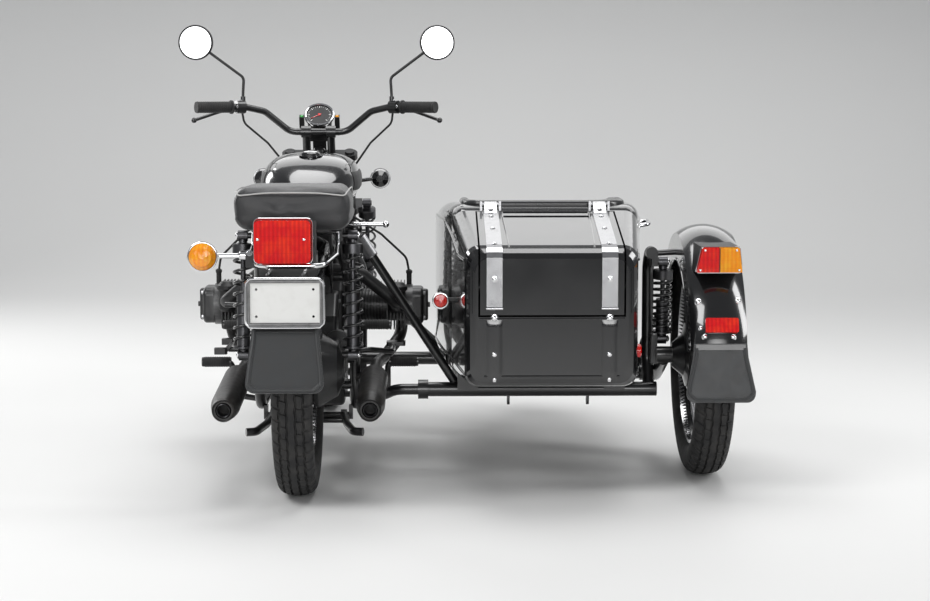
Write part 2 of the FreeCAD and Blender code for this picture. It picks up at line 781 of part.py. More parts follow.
def make_cylinders():
    """Finned barrels and heads of the flat twin, the left one a little ahead of the right."""
    shapes = []
    for side, y in ((1, mm.cylinder_right_y), (-1, mm.cylinder_left_y)):
        body = new_body("cylinder_right_body" if side > 0 else "cylinder_left_body")
        start = number(mm.case_half_width)
        name = "right" if side > 0 else "left"
        barrel = draw(body, f"barrel_{name}", "YZ_Plane", [(0.0, 0.0, cell.barrel_radius)])
        pad(body, f"barrel_{name}_pad", barrel, cell.head_start + cell.head_length - cell.case_half_width)
        fin = draw(body, f"fin_{name}", "YZ_Plane", [(0.0, 0.0, cell.fin_radius)],
                   Placement(Vector(0, 0, 14), Rotation()))
        first = pad(body, f"fin_{name}_pad", fin, cell.fin_thickness)
        count = int((mm.head_start - mm.case_half_width - 20) / mm.fin_pitch)
        document.recompute()
        row_of(body, f"fins_{name}", first, fin, "N_Axis", cell.fin_pitch * (count - 1), count)
        document.recompute()
        size = cell.head_half_size
        square = [
            (-size, 18 - size), (18 - size, -size), (size - 18, -size), (size, 18 - size),
            (size, size - 18), (size - 18, size), (18 - size, size), (-size, size - 18),
        ]
        head = draw(body, f"head_fin_{name}", "YZ_Plane", [square],
                    Placement(Vector(0, 0, mm.head_start - mm.case_half_width), Rotation()))
        plate = pad(body, f"head_fin_{name}_pad", head, cell.fin_thickness + 1)
        fins = int((mm.head_length - 26) / (mm.fin_pitch + 1))
        document.recompute()
        row_of(body, f"head_fins_{name}", plate, head, "N_Axis", (cell.fin_pitch + 1) * fins, fins + 1)
        core = draw(body, f"head_core_{name}", "YZ_Plane", [(0.0, 0.0, size - 8)],
                    Placement(Vector(0, 0, mm.head_start - mm.case_half_width + mm.head_length - 22), Rotation()))
        pad(body, f"head_core_{name}_pad", core, 22)
        place = Placement(Vector(side * start, y, mm.cylinder_height), Rotation(UP, 0 if side > 0 else 180))
        body.Placement = ROW_STEP * place
        shapes.append(body)
    return shapes


def make_rocker_covers():
    """Rounded covers with a raised rib over the two rockers."""
    covers = []
    for side, y in ((1, mm.cylinder_right_y), (-1, mm.cylinder_left_y)):
        foot = mm.head_start + mm.head_length
        size = mm.head_half_size - 12
        base = Part.makeBox(mm.rocker_depth - 14, 2 * size, 2 * size - 8, v(foot, y - size, mm.cylinder_height - size + 4))
        uprights = [e for e in base.Edges if abs(e.tangentAt(e.FirstParameter).x) > 0.9]
        base = base.makeFillet(26, uprights)
        rim = [e for e in base.Edges if e.CenterOfMass.x > foot + mm.rocker_depth - 15]
        base = base.makeFillet(11, rim)
        rib = Part.makeBox(mm.rocker_depth, 30, 2 * size - 22, v(foot, y - 15, mm.cylinder_height - size + 11))
        edges = [e for e in rib.Edges if e.CenterOfMass.x > foot + 5]
        rib = rib.makeFillet(7, edges)
        nut = Part.makeCylinder(8, 8, v(foot + mm.rocker_depth - 2, y, mm.cylinder_height), RIGHT)
        cover = fused([base, rib, nut])
        covers.append(cover if side > 0 else mirrored(cover))
    return feature("rocker_covers", together(covers))


def make_intake():
    """Carburettors behind the heads and their ducts from the air cleaner."""
    shapes = []
    for side, y in ((1, mm.cylinder_right_y), (-1, mm.cylinder_left_y)):
        x, z = mm.head_start + 32, mm.cylinder_height + 22
        face = y - mm.head_half_size
        body = Part.makeCylinder(23, 62, v(x, face - 62, z), FORWARD)
        dome = solid_of_revolution([(-34, 0), (-34, 22), (-26, 27), (30, 27), (36, 33), (46, 33), (58, 20), (60, 0)],
                                   v(x, face - 34, z), UP)
        duct = tube([v(60, 548, 566), v(150, 548, 560), v(x - 6, 560, z + 10), v(x, face - 61, z)], 19, 60)
        whole = fused([body, dome, duct])
        shapes.append(whole if side > 0 else mirrored(whole))
    return together(shapes)


def make_spark_leads(frame_shape, cylinder_shape):
    """Leads from under the tank to the plug caps on top of the heads."""
    leads = []
    x = mm.head_start + mm.head_length - 11
    for side, y in ((1, mm.cylinder_right_y), (-1, mm.cylinder_left_y)):
        top = mm.cylinder_height + mm.head_half_size
        path = [v(8, y - 100, 742), v(104, y - 92, 736), v(212, y - 52, 664), v(x - 8, y - 12, top + 76), v(x, y, top + 30)]
        cap = solid_of_revolution([(0, 0), (0, 8), (40, 8), (44, 10), (50, 10), (54, 5), (54, 0)],
                                  v(x, y, top - 16), UP)
        lead = tube(path, mm.lead_radius, 45).fuse(cap)
        if side < 0:
            lead = mirrored(lead)
        leads.append(largest(lead.cut(frame_shape).cut(cylinder_shape)))
    return feature("spark_leads", together(leads))


def make_air_cleaner():
    body = new_body("air_cleaner_body")
    low = mm.gearbox_top
    sketch = draw(body, "cleaner_outline", "XY_Plane",
                  [[(-62.0, 520.0), (-44.0, 502.0), (44.0, 502.0), (62.0, 520.0), (62.0, 580.0), (44.0, 598.0),
                    (-44.0, 598.0), (-62.0, 580.0)]],
                  Placement(Vector(0, 0, low), Rotation()))
    pad(body, "cleaner_pad", sketch, 140)
    round_edges(body, "cleaner_rounds", 10, lambda e: e.CenterOfMass.z > low + 139)
    return keep("air_cleaner", body)


def make_exhaust():
    """Header pipes from the front of the heads, down and back below the cylinders."""
    pipes = []
    for side, y in ((1, mm.cylinder_right_y), (-1, mm.cylinder_left_y)):
        x = mm.head_start + 46
        face = y + mm.head_half_size
        turn = math.radians(mm.muffler_drop)
        last = v(mm.pipe_x, mm.muffler_front_y, mm.muffler_front_z)
        before = v(mm.pipe_x, mm.muffler_front_y + 190, mm.muffler_front_z + 190 * math.tan(turn) - 14)
        path = [v(x, face - 4, mm.cylinder_height - 30), v(x, face + 52, mm.cylinder_height - 44),
                v(x - 4, face + 54, 330), v(mm.pipe_x + 20, face - 18, 268),
                v(mm.pipe_x, face - 130, 264), before, last]
        pipe = tube(path, mm.pipe_radius, 52)
        flange = bar(v(x, face, mm.cylinder_height - 31), v(x, face + 12, mm.cylinder_height - 34), 29)
        whole = fused([pipe, flange])
        whole = whole.cut(block(v(x - 40, face - 40, 360), v(x + 40, face, 480)))
        pipes.append(whole if side > 0 else mirrored(whole))
    return feature("exhaust_pipes", together(pipes))


def make_mufflers():
    body = new_body("muffler_body")
    length, radius = cell.muffler_length, cell.muffler_radius
    section = [
        (0.0, 0.0), (0.0, cell.pipe_radius + 2), (22.0, cell.pipe_radius + 2), (70.0, radius), (length - 70, radius),
        (length - 46, radius - 2), (length - 12, radius - 7), (length, radius - 10), (length, 22.0),
        (length - 60, 22.0), (length - 60, 0.0),
    ]
    sketch = draw(body, "muffler_section", "XY_Plane", [section])
    revolve(body, "muffler_turned", sketch, "H_Axis")
    document.recompute()
    shapes = []
    for side in (1, -1):
        lean = Rotation(RIGHT, mm.muffler_drop) * Rotation(UP, -90)
        place = Placement(v(side * mm.pipe_x, mm.muffler_front_y, mm.muffler_front_z), lean)
        shape = body.Tip.Shape.copy()
        shape.Placement = place
        shapes.append(shape)
    return shapes


def muffler_hangers():
    """Straps that carry the mufflers from the lower rails' uprights."""
    hangers = []
    for side in (1, -1):
        strap = tube([v(mm.rail_half_gap, mm.upright_y, 258), v(mm.pipe_x - 10, 330, 300),
                      v(mm.pipe_x, 230, 266)], 8, 40)
        hangers.append(strap if side > 0 else mirrored(strap))
    return hangers


# Rear suspension and drive

def damper(bottom, top, way):
    """Damper body with two spring seats and an eye at each end. Returns it and its coil spring."""
    along = top - bottom
    length = along.Length
    along.normalize()
    r, eye = mm.damper_body_radius, mm.eye_radius
    seat = mm.spring_radius + mm.spring_wire
    outline = [(0, 0), (0, 10), (eye, 12), (eye + 4, seat), (eye + 9, seat), (eye + 9, r), (0.52 * length, r),
               (0.52 * length, 7), (length - eye - 34, 7), (length - eye - 34, seat), (length - eye - 8, seat),
               (length - eye - 4, 12), (length, 10), (length, 0)]
    body = solid_of_revolution(outline, bottom, along)
    eyes = [Part.makeCylinder(eye, 26, place - way * 13, way) for place in (bottom, top)]
    holes = [Part.makeCylinder(mm.stud_radius, 80, place - way * 40, way) for place in (bottom, top)]
    whole = fused([body] + eyes).cut(together(holes))
    low, high = eye + 9.3, length - eye - 34.3
    return whole, coil(bottom + along * low, along, high - low)


def coil(foot, along, height):
    """A coil spring whose end turns lie just inside its height."""
    turns, wire = mm.spring_turns, mm.spring_wire
    pitch = (height - 2 * wire) / turns
    helix = Part.makeHelix(pitch, height - 2 * wire, mm.spring_radius)
    start = Part.Wire([Part.Circle(Vector(mm.spring_radius, 0, 0), FORWARD, wire).toShape()])
    spring = Part.Wire(helix.Edges).makePipeShell([start], True, True)
    spring.translate(Vector(0, 0, wire))
    spring.Placement = Placement(foot, Rotation(UP, along)) * spring.Placement
    return spring


def make_rear_suspension():
    dampers, springs = [], []
    for side in (1, -1):
        bottom = v(side * mm.damper_x, 0, mm.damper_bottom_z)
        top = v(side * mm.damper_x, mm.damper_top_y, mm.damper_top_z)
        body, spring = damper(bottom, top, RIGHT)
        dampers.append(body)
        springs.append(spring)
    low = v(mm.arm_x, mm.side_damper_low_y, mm.side_damper_low_z)
    body, spring = damper(low, v(mm.arm_x, mm.side_damper_top_y, mm.side_damper_top_z), RIGHT)
    dampers.append(body)
    springs.append(spring)
    feature("dampers", together(dampers))
    feature("springs", together(springs))


def make_swing_arm(frame_shape):
    """Swing arm with its pivot tube between the frame's uprights, the rear axle and the damper stud."""
    x, radius = mm.swing_arm_x, mm.swing_arm_radius
    axle = mm.wheel_radius
    shapes = [bar(v(-mm.rail_half_gap, mm.pivot_y, mm.pivot_z), v(mm.rail_half_gap, mm.pivot_y, mm.pivot_z), 19)]
    shapes.append(tube([v(-x, mm.pivot_y, mm.pivot_z), v(-x, 140, 330), v(-x, 18, axle)], radius, 120))
    shapes.append(tube([v(x + 6, mm.pivot_y, mm.pivot_z), v(x + 6, 240, 318), v(x + 6, 92, 318)], radius, 120))
    plate = bar(v(-x - 12, 0, axle), v(-x + 12, 0, axle), 30)
    shapes.append(plate)
    shapes.append(block(v(-x - 10, -16, axle), v(-x + 8, 16, mm.damper_bottom_z + 16)))
    shapes.append(bar(v(-x, 0, mm.damper_bottom_z), v(-mm.damper_x - 16, 0, mm.damper_bottom_z), mm.stud_radius))
    shapes.append(bar(v(-x - 24, 0, axle), v(mm.drive_inner_x, 0, axle), mm.axle_radius))
    shapes.append(bar(v(-x + 12, 0, axle), v(-mm.hub_nose - 1, 0, axle), 16))
    whole = fused(shapes).cut(frame_shape)
    return whole


def make_final_drive():
    """Final drive housing with the rear brake plate on its inner side and the damper stud outside."""
    inner, outer, radius = mm.drive_inner_x, mm.drive_outer_x, mm.drive_radius
    plate = mm.drum_radius - mm.brake_gap
    sunk = mm.hub_half_width - mm.drum_depth + mm.brake_gap
    outline = [(sunk, 0), (sunk, plate), (inner, plate), (inner, radius), (inner + 12, radius), (inner + 30, 92),
               (outer - 18, 74), (outer - 4, 40), (outer, 36), (outer, 0)]
    middle = v(0, 0, mm.wheel_radius)
    housing = solid_of_revolution(outline, middle, RIGHT)
    housing = housing.cut(Part.makeCylinder(mm.hub_nose_radius + 6, inner - sunk + 8, v(sunk - 1, 0, mm.wheel_radius), RIGHT))
    nose = solid_of_revolution([(0, 0), (0, 46), (40, 40), (58, 30), (62, 24), (62, 0)], v(88, 44, 352), FORWARD)
    arm = block(v(outer - 50, -18, mm.wheel_radius), v(outer - 8, 18, mm.damper_bottom_z + 8))
    stud = bar(v(outer - 40, 0, mm.damper_bottom_z), v(mm.damper_x + 16, 0, mm.damper_bottom_z), mm.stud_radius)
    foot = bar(v(mm.swing_arm_x + 6, 40, 318), v(mm.swing_arm_x + 6, 92, 318), mm.swing_arm_radius + 3)
    whole = fused([housing, nose, arm, stud, foot])
    shaft = bar(v(88, 106, 356), v(86, mm.gearbox_back - 12, 366), 12)
    joint = bar(v(88, 106, 356), v(88, 124, 357), 24)
    return fused([whole, shaft, joint])


# Front fork

def make_fork():
    """Upper and lower yokes, steering stem, two legs and the ears that carry the headlamp."""
    x, r, ahead, drop = mm.leg_x, mm.leg_radius, mm.leg_offset, mm.yoke_drop
    thick = mm.yoke_thickness
    shapes = []
    for low, back in ((-5.0, 26), (-drop - 10, 8)):
        plate = Part.makeBox(2 * x, 20 + back, thick, v(-x, ahead - back, low))
        hub = Part.makeCylinder(34, thick, v(0, 0, low))
        ends = [Part.makeCylinder(26, thick, v(side * x, ahead, low)) for side in (1, -1)]
        shapes.append(in_steering_frame(fused([plate, hub] + ends)))
    shapes.append(in_steering_frame(Part.makeCylinder(mm.stem_radius, drop + 20, v(0, 0, -drop - 5))))
    leg = tube([steer(x, ahead, 22), steer(x, ahead, -245), steer(x, -60, -566)], r, 160)
    shapes += both(leg)
    knuckle = bar(steer(x - 14, -60, -566), steer(x + 14, -60, -566), 22)
    shapes += both(knuckle)
    reach = mm.front_damper_x - 15
    bracket = Part.makeBox(reach - x, 62, 20, v(x, ahead - 4, -drop - 10))
    shapes += both(in_steering_frame(bracket))
    stud = bar(steer(reach - 6, 74, -drop), steer(mm.front_damper_x + 16, 74, -drop), mm.stud_radius)
    shapes += both(stud)
    ear = Part.makeBox(4, 132, 60, v(x - 8, ahead, -166))
    shapes += both(in_steering_frame(ear))
    riser = in_steering_frame(fused([Part.makeCylinder(13, 92, v(40, 0, 15)),
                                     Part.makeCylinder(19, 32, v(24, 1.5, 107), RIGHT)]))
    shapes += both(riser)
    knob = in_steering_frame(solid_of_revolution([(0, 0), (0, 20), (26, 20), (32, 15), (34, 0)], v(0, 0, 15), UP))
    shapes.append(knob)
    shapes += both(fender_stays())
    return fused(shapes)


def fender_stays():
    """A lug from the leg to the front fender's side, and a stay that runs forward to its skirt."""
    face = mm.front_fender_half_width + 0.2
    lug = bar(v(face, 1288, 624), v(mm.leg_x - 6, 1288, 624), 15)
    end = v(face + 6, 1723, 598)
    stay = tube([v(mm.leg_x - 4, 1322, 432), v(mm.leg_x - 8, 1352, 446), v(mm.leg_x - 12, 1500, 502), end], 5, 60)
    foot = bar(v(face, end.y, end.z), v(face + 9, end.y, end.z), 11)
    return together([lug, stay.fuse(foot)])


def make_links():
    """Leading links from the legs' feet to the front axle, with the axle and damper studs."""
    x = mm.leg_x
    axle = v(0, mm.wheelbase, mm.wheel_radius)
    shapes = []
    for side in (1, -1):
        foot = steer(side * x, -60, -566)
        hub = v(side * x, axle.y, axle.z)
        outer = side * (x + 26)
        shapes.append(tube([foot + v(side * 26, 0, 0), hub + v(side * 26, -20, -1)], 14))
        shapes.append(bar(foot + v(side * 14.2, 0, 0), foot + v(side * 40, 0, 0), 22))
        shapes.append(bar(v(side * (x - 14), axle.y, axle.z), v(side * (x + 40), axle.y, axle.z), 24))
        low = steer(outer, 62, -583)
        shapes.append(block(v(outer - 9, low.y - 8, axle.z), v(outer + 9, low.y + 20, low.z + 5)))
        shapes.append(bar(steer(outer, 62, -583), steer(side * (mm.front_damper_x + 16), 62, -583), mm.stud_radius))
    shapes.append(bar(v(-x - 44, axle.y, axle.z), v(x + 44, axle.y, axle.z), mm.axle_radius))
    sunk = mm.hub_half_width - mm.drum_depth + mm.brake_gap
    plate = solid_of_revolution([(sunk, 9), (sunk, mm.drum_radius - mm.brake_gap), (48, mm.drum_radius - mm.brake_gap),
                                 (54, 60), (x - 14, 22), (x - 14, 9)], axle, RIGHT)
    boss = Part.makeCylinder(mm.hub_nose_radius + 6, 26, v(sunk - 1, axle.y, axle.z), RIGHT)
    shapes.append(plate.cut(boss))
    shapes.append(bar(v(-x + 14, axle.y, axle.z), v(-mm.hub_nose - 8, axle.y, axle.z), 16))
    return fused(shapes)


def make_front_suspension():
    dampers, springs = [], []
    for side in (1, -1):
        x = side * mm.front_damper_x
        body, spring = damper(steer(x, 62, -583), steer(x, 74, -mm.yoke_drop), RIGHT)
        dampers.append(body)
        springs.append(spring)
    feature("front_dampers", together(dampers))
    feature("front_springs", together(springs))


def make_caliper():
    """Brake caliper over the back of the disc, on an arm from the left link."""
    axle = v(0, mm.wheelbase, mm.wheel_radius)
    start = -mm.hub_nose - 1
    low = mm.hub_radius + 6
    body = block(v(start - 30, -50, low), v(0.5 - mm.hub_half_width, 50, low + 54))
    edges = [e for e in body.Edges if abs(e.tangentAt(e.FirstParameter).x) > 0.9]
    body = body.makeFillet(14, edges)
    slot = block(v(start - mm.disc_thickness - 5, -70, 60), v(start + 5, 70, mm.disc_radius + 5))
    body = body.cut(slot)
    arm = block(v(start - 30, -20, 10), v(start - 16, 20, low + 20))
    ring = bar(v(start - 30, 0, 0), v(start - 16, 0, 0), 30)
    whole = fused([body, arm, ring])
    whole = turned(whole, RIGHT, 62)
    whole.translate(axle)
    return whole


# Fenders

def make_fender(name, middle, half_width, skirt, begin, sweep):
    """A pressed fender: a crowned strip with deep sides, turned about its wheel's axle. Angles are in
    degrees from straight ahead, rising over the wheel."""
    body = new_body(f"{name}_body")
    inner = cell.wheel_radius + cell.fender_gap
    wall = cell.fender_wall
    low = inner - skirt
    rise = half_width * 0.30
    sketch = draw(body, f"{name}_section", "XY_Plane", [[
        (-half_width, low), (-half_width, inner - rise), (half_width, inner - rise, (0.0, inner + wall)),
        (half_width, low), (half_width - wall, low), (half_width - wall, inner - rise - wall * 0.6),
        (wall - half_width, inner - rise - wall * 0.6, (0.0, inner)), (wall - half_width, low),
    ]])
    revolve(body, f"{name}_turned", sketch, "H_Axis", sweep)
    return keep(name, body, Placement(middle, Rotation(RIGHT, begin)))


def flap(middle, radius, angle, top_half, low_half, height):
    """A mud flap that hangs off the end of a fender, in line with it."""
    corner = 30
    points = [v(-top_half, 0, 18), v(top_half, 0, 18), v(top_half + 3, 0, -20), v(low_half, 0, -height + corner),
              v(low_half - 2, 0, -height), v(2 - low_half, 0, -height), v(-low_half, 0, -height + corner),
              v(-top_half - 3, 0, -20)]
    sheet_face = Part.Face(Part.makePolygon(points + points[:1]))
    solid = sheet_face.extrude(Vector(0, -mm.flap_thickness, 0))
    edges = [e for e in solid.Edges if abs(e.tangentAt(e.FirstParameter).y) > 0.9 and e.CenterOfMass.z < 2 - height]
    solid = solid.makeFillet(corner - 6, edges)
    solid.translate(v(0, -radius, 0))
    return turned(solid, RIGHT, -angle).translated(middle)


def make_flaps():
    radius = mm.wheel_radius + mm.fender_gap + mm.fender_wall + 0.3
    rear = flap(WHEELS["rear"][0] + v(mm.plate_x, 0, 0), radius, 22.5, 86, 100, 160)
    side = flap(WHEELS["sidecar"][0], radius, 9.5, 72, 94, 142)
    return feature("mud_flaps", together([rear, side]))


# Tank and bench

def spline_ring(y, points):
    """A closed smooth section in an upright plane across the outfit."""
    curve = Part.BSplineCurve()
    curve.interpolate([Vector(x, y, z) for x, z in points], PeriodicFlag=True)
    return Part.Wire([curve.toShape()])


def make_tank():
    wide, top = mm.tank_half_width, mm.tank_top
    stations = [
        (442, 0.44, -84, 782), (500, 0.74, -48, 774), (590, 0.96, -14, 766), (700, 1.0, 0, 762),
        (820, 0.98, -2, 764), (930, 0.84, -14, 770), (1000, 0.62, -36, 780), (1040, 0.34, -66, 800),
    ]
    rings = []
    for y, share, drop, low in stations:
        w, t = wide * share, top + drop
        h = t - low
        half = [(0, low), (0.62 * w, low + 0.02 * h), (0.95 * w, low + 0.22 * h), (w, low + 0.52 * h),
                (0.86 * w, low + 0.82 * h), (0.48 * w, low + 0.975 * h), (0, t)]
        rings.append(spline_ring(y, half + [(-x, z) for x, z in half[-2:0:-1]]))
    solid = Part.makeLoft(rings, True, False)
    tunnel = block(v(-34, 400, 700), v(34, 1100, 826))
    return solid.cut(tunnel)


def make_bench():
    """The long two-up bench: plain and closed, with side skirts outside the seat rails."""
    wide, low = mm.bench_half_width, mm.bench_skirt
    rear_top, front_top = mm.bench_top, mm.bench_rider_top
    stations = [
        (mm.bench_back, 0.90, rear_top - 10), (mm.bench_back + 30, 0.97, rear_top), (-60, 1.0, rear_top),
        (60, 0.99, rear_top - 6), (180, 0.96, front_top + 4), (300, 0.90, front_top), (mm.bench_front, 0.70, front_top),
    ]
    rings = []
    for y, share, t in stations:
        w, h = wide * share, t - low
        half = [(0, low), (0.80 * w, low), (0.97 * w, low + 0.14 * h), (w, low + 0.45 * h), (0.96 * w, low + 0.84 * h),
                (0.80 * w, low + 0.96 * h), (0, t)]
        rings.append(spline_ring(y, half + [(-x, z) for x, z in half[-2:0:-1]]))
    solid = Part.makeLoft(rings, True, False)
    under = mm.seat_rail_height + mm.subframe_radius + mm.soft_gap
    channel = block(v(-mm.seat_rail_half_gap - 20, -400, low - 60), v(mm.seat_rail_half_gap + 20, 600, under))
    return feature("bench_seat", solid.cut(channel))


# Sidecar body

def body_edges(y, grow):
    """Half width, underside and top of the sidecar body at a place along it, as straight stretches
    between stations, grown or shrunk all round."""
    stations = [
        (mm.body_back, 228, 322, 690), (170, 262, mm.body_floor, 770), (214, 268, mm.body_floor, 783),
        (360, 286, mm.body_floor, 783), (600, 304, mm.body_floor, 768), (790, 303, mm.body_floor, 748),
        (1000, 280, 304, 714), (1200, 232, 322, 664), (1340, 176, 352, 616), (1430, 116, 388, 574), (1480, 62, 424, 540),
    ]
    for (y0, *low), (y1, *high) in zip(stations, stations[1:]):
        if y <= y1:
            break
    share = (y - y0) / (y1 - y0)
    half, under, top = (a + (b - a) * share for a, b in zip(low, high))
    return half + grow, under - grow, top + grow


def body_ring(y, grow, inset, corner):
    half, under, top = body_edges(y, grow)
    half, under, top = half - inset, under + inset, top - inset
    x = mm.body_x
    reach = max(corner, 4.0)
    corners = [(x - half, under), (x + half, under), (x + half, top), (x - half, top)]
    edges = []
    ways = [(1, 0), (0, 1), (-1, 0), (0, -1)]
    slope = reach * (1 - math.sqrt(0.5))
    for i, (cx, cz) in enumerate(corners):
        dx, dz = ways[i]
        px, pz = ways[i - 1]
        nx, nz = corners[(i + 1) % 4]
        start = Vector(cx - px * reach, y, cz - pz * reach)
        end = Vector(cx + dx * reach, y, cz + dz * reach)
        middle = Vector(cx + (dx - px) * slope, y, cz + (dz - pz) * slope)
        edges.append(Part.Arc(start, middle, end).toShape())
        edges.append(Part.LineSegment(end, Vector(nx - dx * reach, y, nz - dz * reach)).toShape())
    return Part.Wire(edges)


def body_solid(grow):
    """The sidecar body's outside, or the same form grown by a few millimetres."""
    corner = mm.body_corner
    back = mm.body_back - grow
    rings = [(back, 24, corner), (back + 7, 11, corner), (back + 20, 3, corner), (back + 40, 0, corner)]
    tail = Part.makeLoft([body_ring(y, grow, inset, c) for y, inset, c in rings], True, True)
    straight = Part.makeLoft([body_ring(y, grow, 0, corner) for y in (back + 40, 170)], True, True)
    rings = [(170, corner), (214, corner), (290, corner + 2), (420, corner + 8), (600, corner + 18), (790, corner + 32),
             (960, corner + 48), (1120, corner + 62), (1250, corner + 66), (1350, corner + 54), (1420, corner + 28)]
    wires = [body_ring(y, grow, 0, c) for y, c in rings]
    nose = body_ring(1455, grow, 4, corner + 14)
    nose.translate(Vector(0, 0.5 * grow, 0))
    tip = body_ring(1479.9, grow, 16, corner - 10)
    tip.translate(Vector(0, grow, 0))
    front = Part.makeLoft(wires + [nose, tip], True, False)
    whole = tail.fuse([straight, front])
    if len(whole.Solids) != 1:
        raise RuntimeError("the sidecar body's lengths do not join")
    return whole.Solids[0]


def lid_zone(margin):
    """Where the boot lid lies: over the sloping deck and the upper half of the back."""
    x, half = mm.body_x, mm.lid_half_width
    return block(v(x - half - margin, mm.body_back - 60, mm.lid_bottom - margin),
                 v(x + half + margin, mm.lid_hinge_y - 12 + margin, 900))


def make_sidecar():
    wall = mm.body_wall
    outside = body_solid(0)
    inside = body_solid(-wall)
    x = mm.body_x
    slab = block(v(x - 400, mm.bulkhead_y, 200), v(x + 400, mm.bulkhead_y + wall, 900))
    bulkhead = inside.common(slab)
    shell = outside.cut(inside)
    whole = shell.fuse(bulkhead)
    half = mm.cockpit_half_width
    opening = block(v(x - half, mm.cockpit_back, 600), v(x + half, mm.cockpit_front, 900))
    uprights = [e for e in opening.Edges if abs(e.tangentAt(e.FirstParameter).z) > 0.9]
    opening = opening.makeFillet(70, uprights)
    whole = whole.cut(opening)
    whole = whole.cut(lid_zone(0))
    lid = shell.common(lid_zone(-mm.lid_gap))
    return whole, lid, outside


def strap_strip(outside, centre, low, front):
    """A flat strap that follows the body's outside."""
    grown = body_solid(mm.strap_thickness)
    layer = grown.cut(outside)
    half = mm.strap_half_width
    return layer.common(block(v(centre - half, mm.body_back - 60, low), v(centre + half, front, 900)))


def make_lid(lid, outside):
    x = mm.body_x
    straps, hinges = [], []
    y, z = mm.lid_hinge_y, hinge_height()
    half = mm.strap_half_width - 4
    for side in (1, -1):
        centre = x + side * mm.strap_offset
        strip = strap_strip(outside, centre, mm.lid_bottom + 22, y - 19)
        barrel = bar(v(centre - half, y, z), v(centre + half, y, z), 7)
        outline = [(-48, 1), (-18.5, 1), (-14, 8), (0, z - 6.9 - deck(y)), (0, z + 6.9 - deck(y)), (-26, 10)]
        points = [v(centre - half, y + along, deck(y + along) + up) for along, up in outline]
        arm = Part.Face(Part.makePolygon(points + points[:1])).extrude(v(2 * half, 0, 0))
        bore = bar(v(centre - 60, y, z), v(centre + 60, y, z), mm.hinge_pin_radius + mm.axle_clearance)
        straps.append(fused([strip, arm, barrel]).cut(bore))
        pin = bar(v(centre - half - 13, y, z), v(centre + half + 13, y, z), mm.hinge_pin_radius)
        ears = [block(v(centre + way * (half + 9.5) - 3, y - 8, deck(y) - 8),
                      v(centre + way * (half + 9.5) + 3, y + 10, z + 8)) for way in (1, -1)]
        hinges.append(fused([pin] + ears).cut(outside))
    feature("boot_lid", lid)
    feature("lid_hinges", together(hinges))
    return together(straps)


def deck(y):
    """Height of the sidecar body's top at a place along it."""
    return body_edges(y, 0)[2]


def hinge_height():
    return deck(mm.lid_hinge_y) + mm.hinge_rise


def make_roll():
    """Padded roll on the cockpit's edge."""
    x, half, back, front = mm.body_x, mm.cockpit_half_width, mm.cockpit_back, mm.cockpit_front
    along = [back, back + 0.25 * (front - back), back + 0.67 * (front - back), front]
    places = [(x, back)] + [(x + half, y) for y in along] + [(x - half, y) for y in reversed(along)]
    path = [v(side_x, y, body_edges(y, 0)[2] + 2) for side_x, y in places]
    return tube(path, mm.roll_radius, 70, closed=True)


def make_sidecar_seat():
    x = mm.body_x
    low = mm.body_floor + mm.body_wall + mm.soft_gap
    cushion = Part.makeBox(400, 440, 150, v(x - 200, 252, low))
    edges = [e for e in cushion.Edges if e.CenterOfMass.z > low + 10]
    cushion = cushion.makeFillet(30, edges)
    feature("sidecar_cushion", cushion)
    lean = Part.makeBox(400, 74, 300, v(x - 200, mm.bulkhead_y + mm.body_wall + mm.soft_gap, low + 152))
    edges = [e for e in lean.Edges if e.CenterOfMass.y > mm.bulkhead_y + 40]
    lean = lean.makeFillet(26, edges)
    feature("sidecar_backrest", lean)


# Sidecar chassis

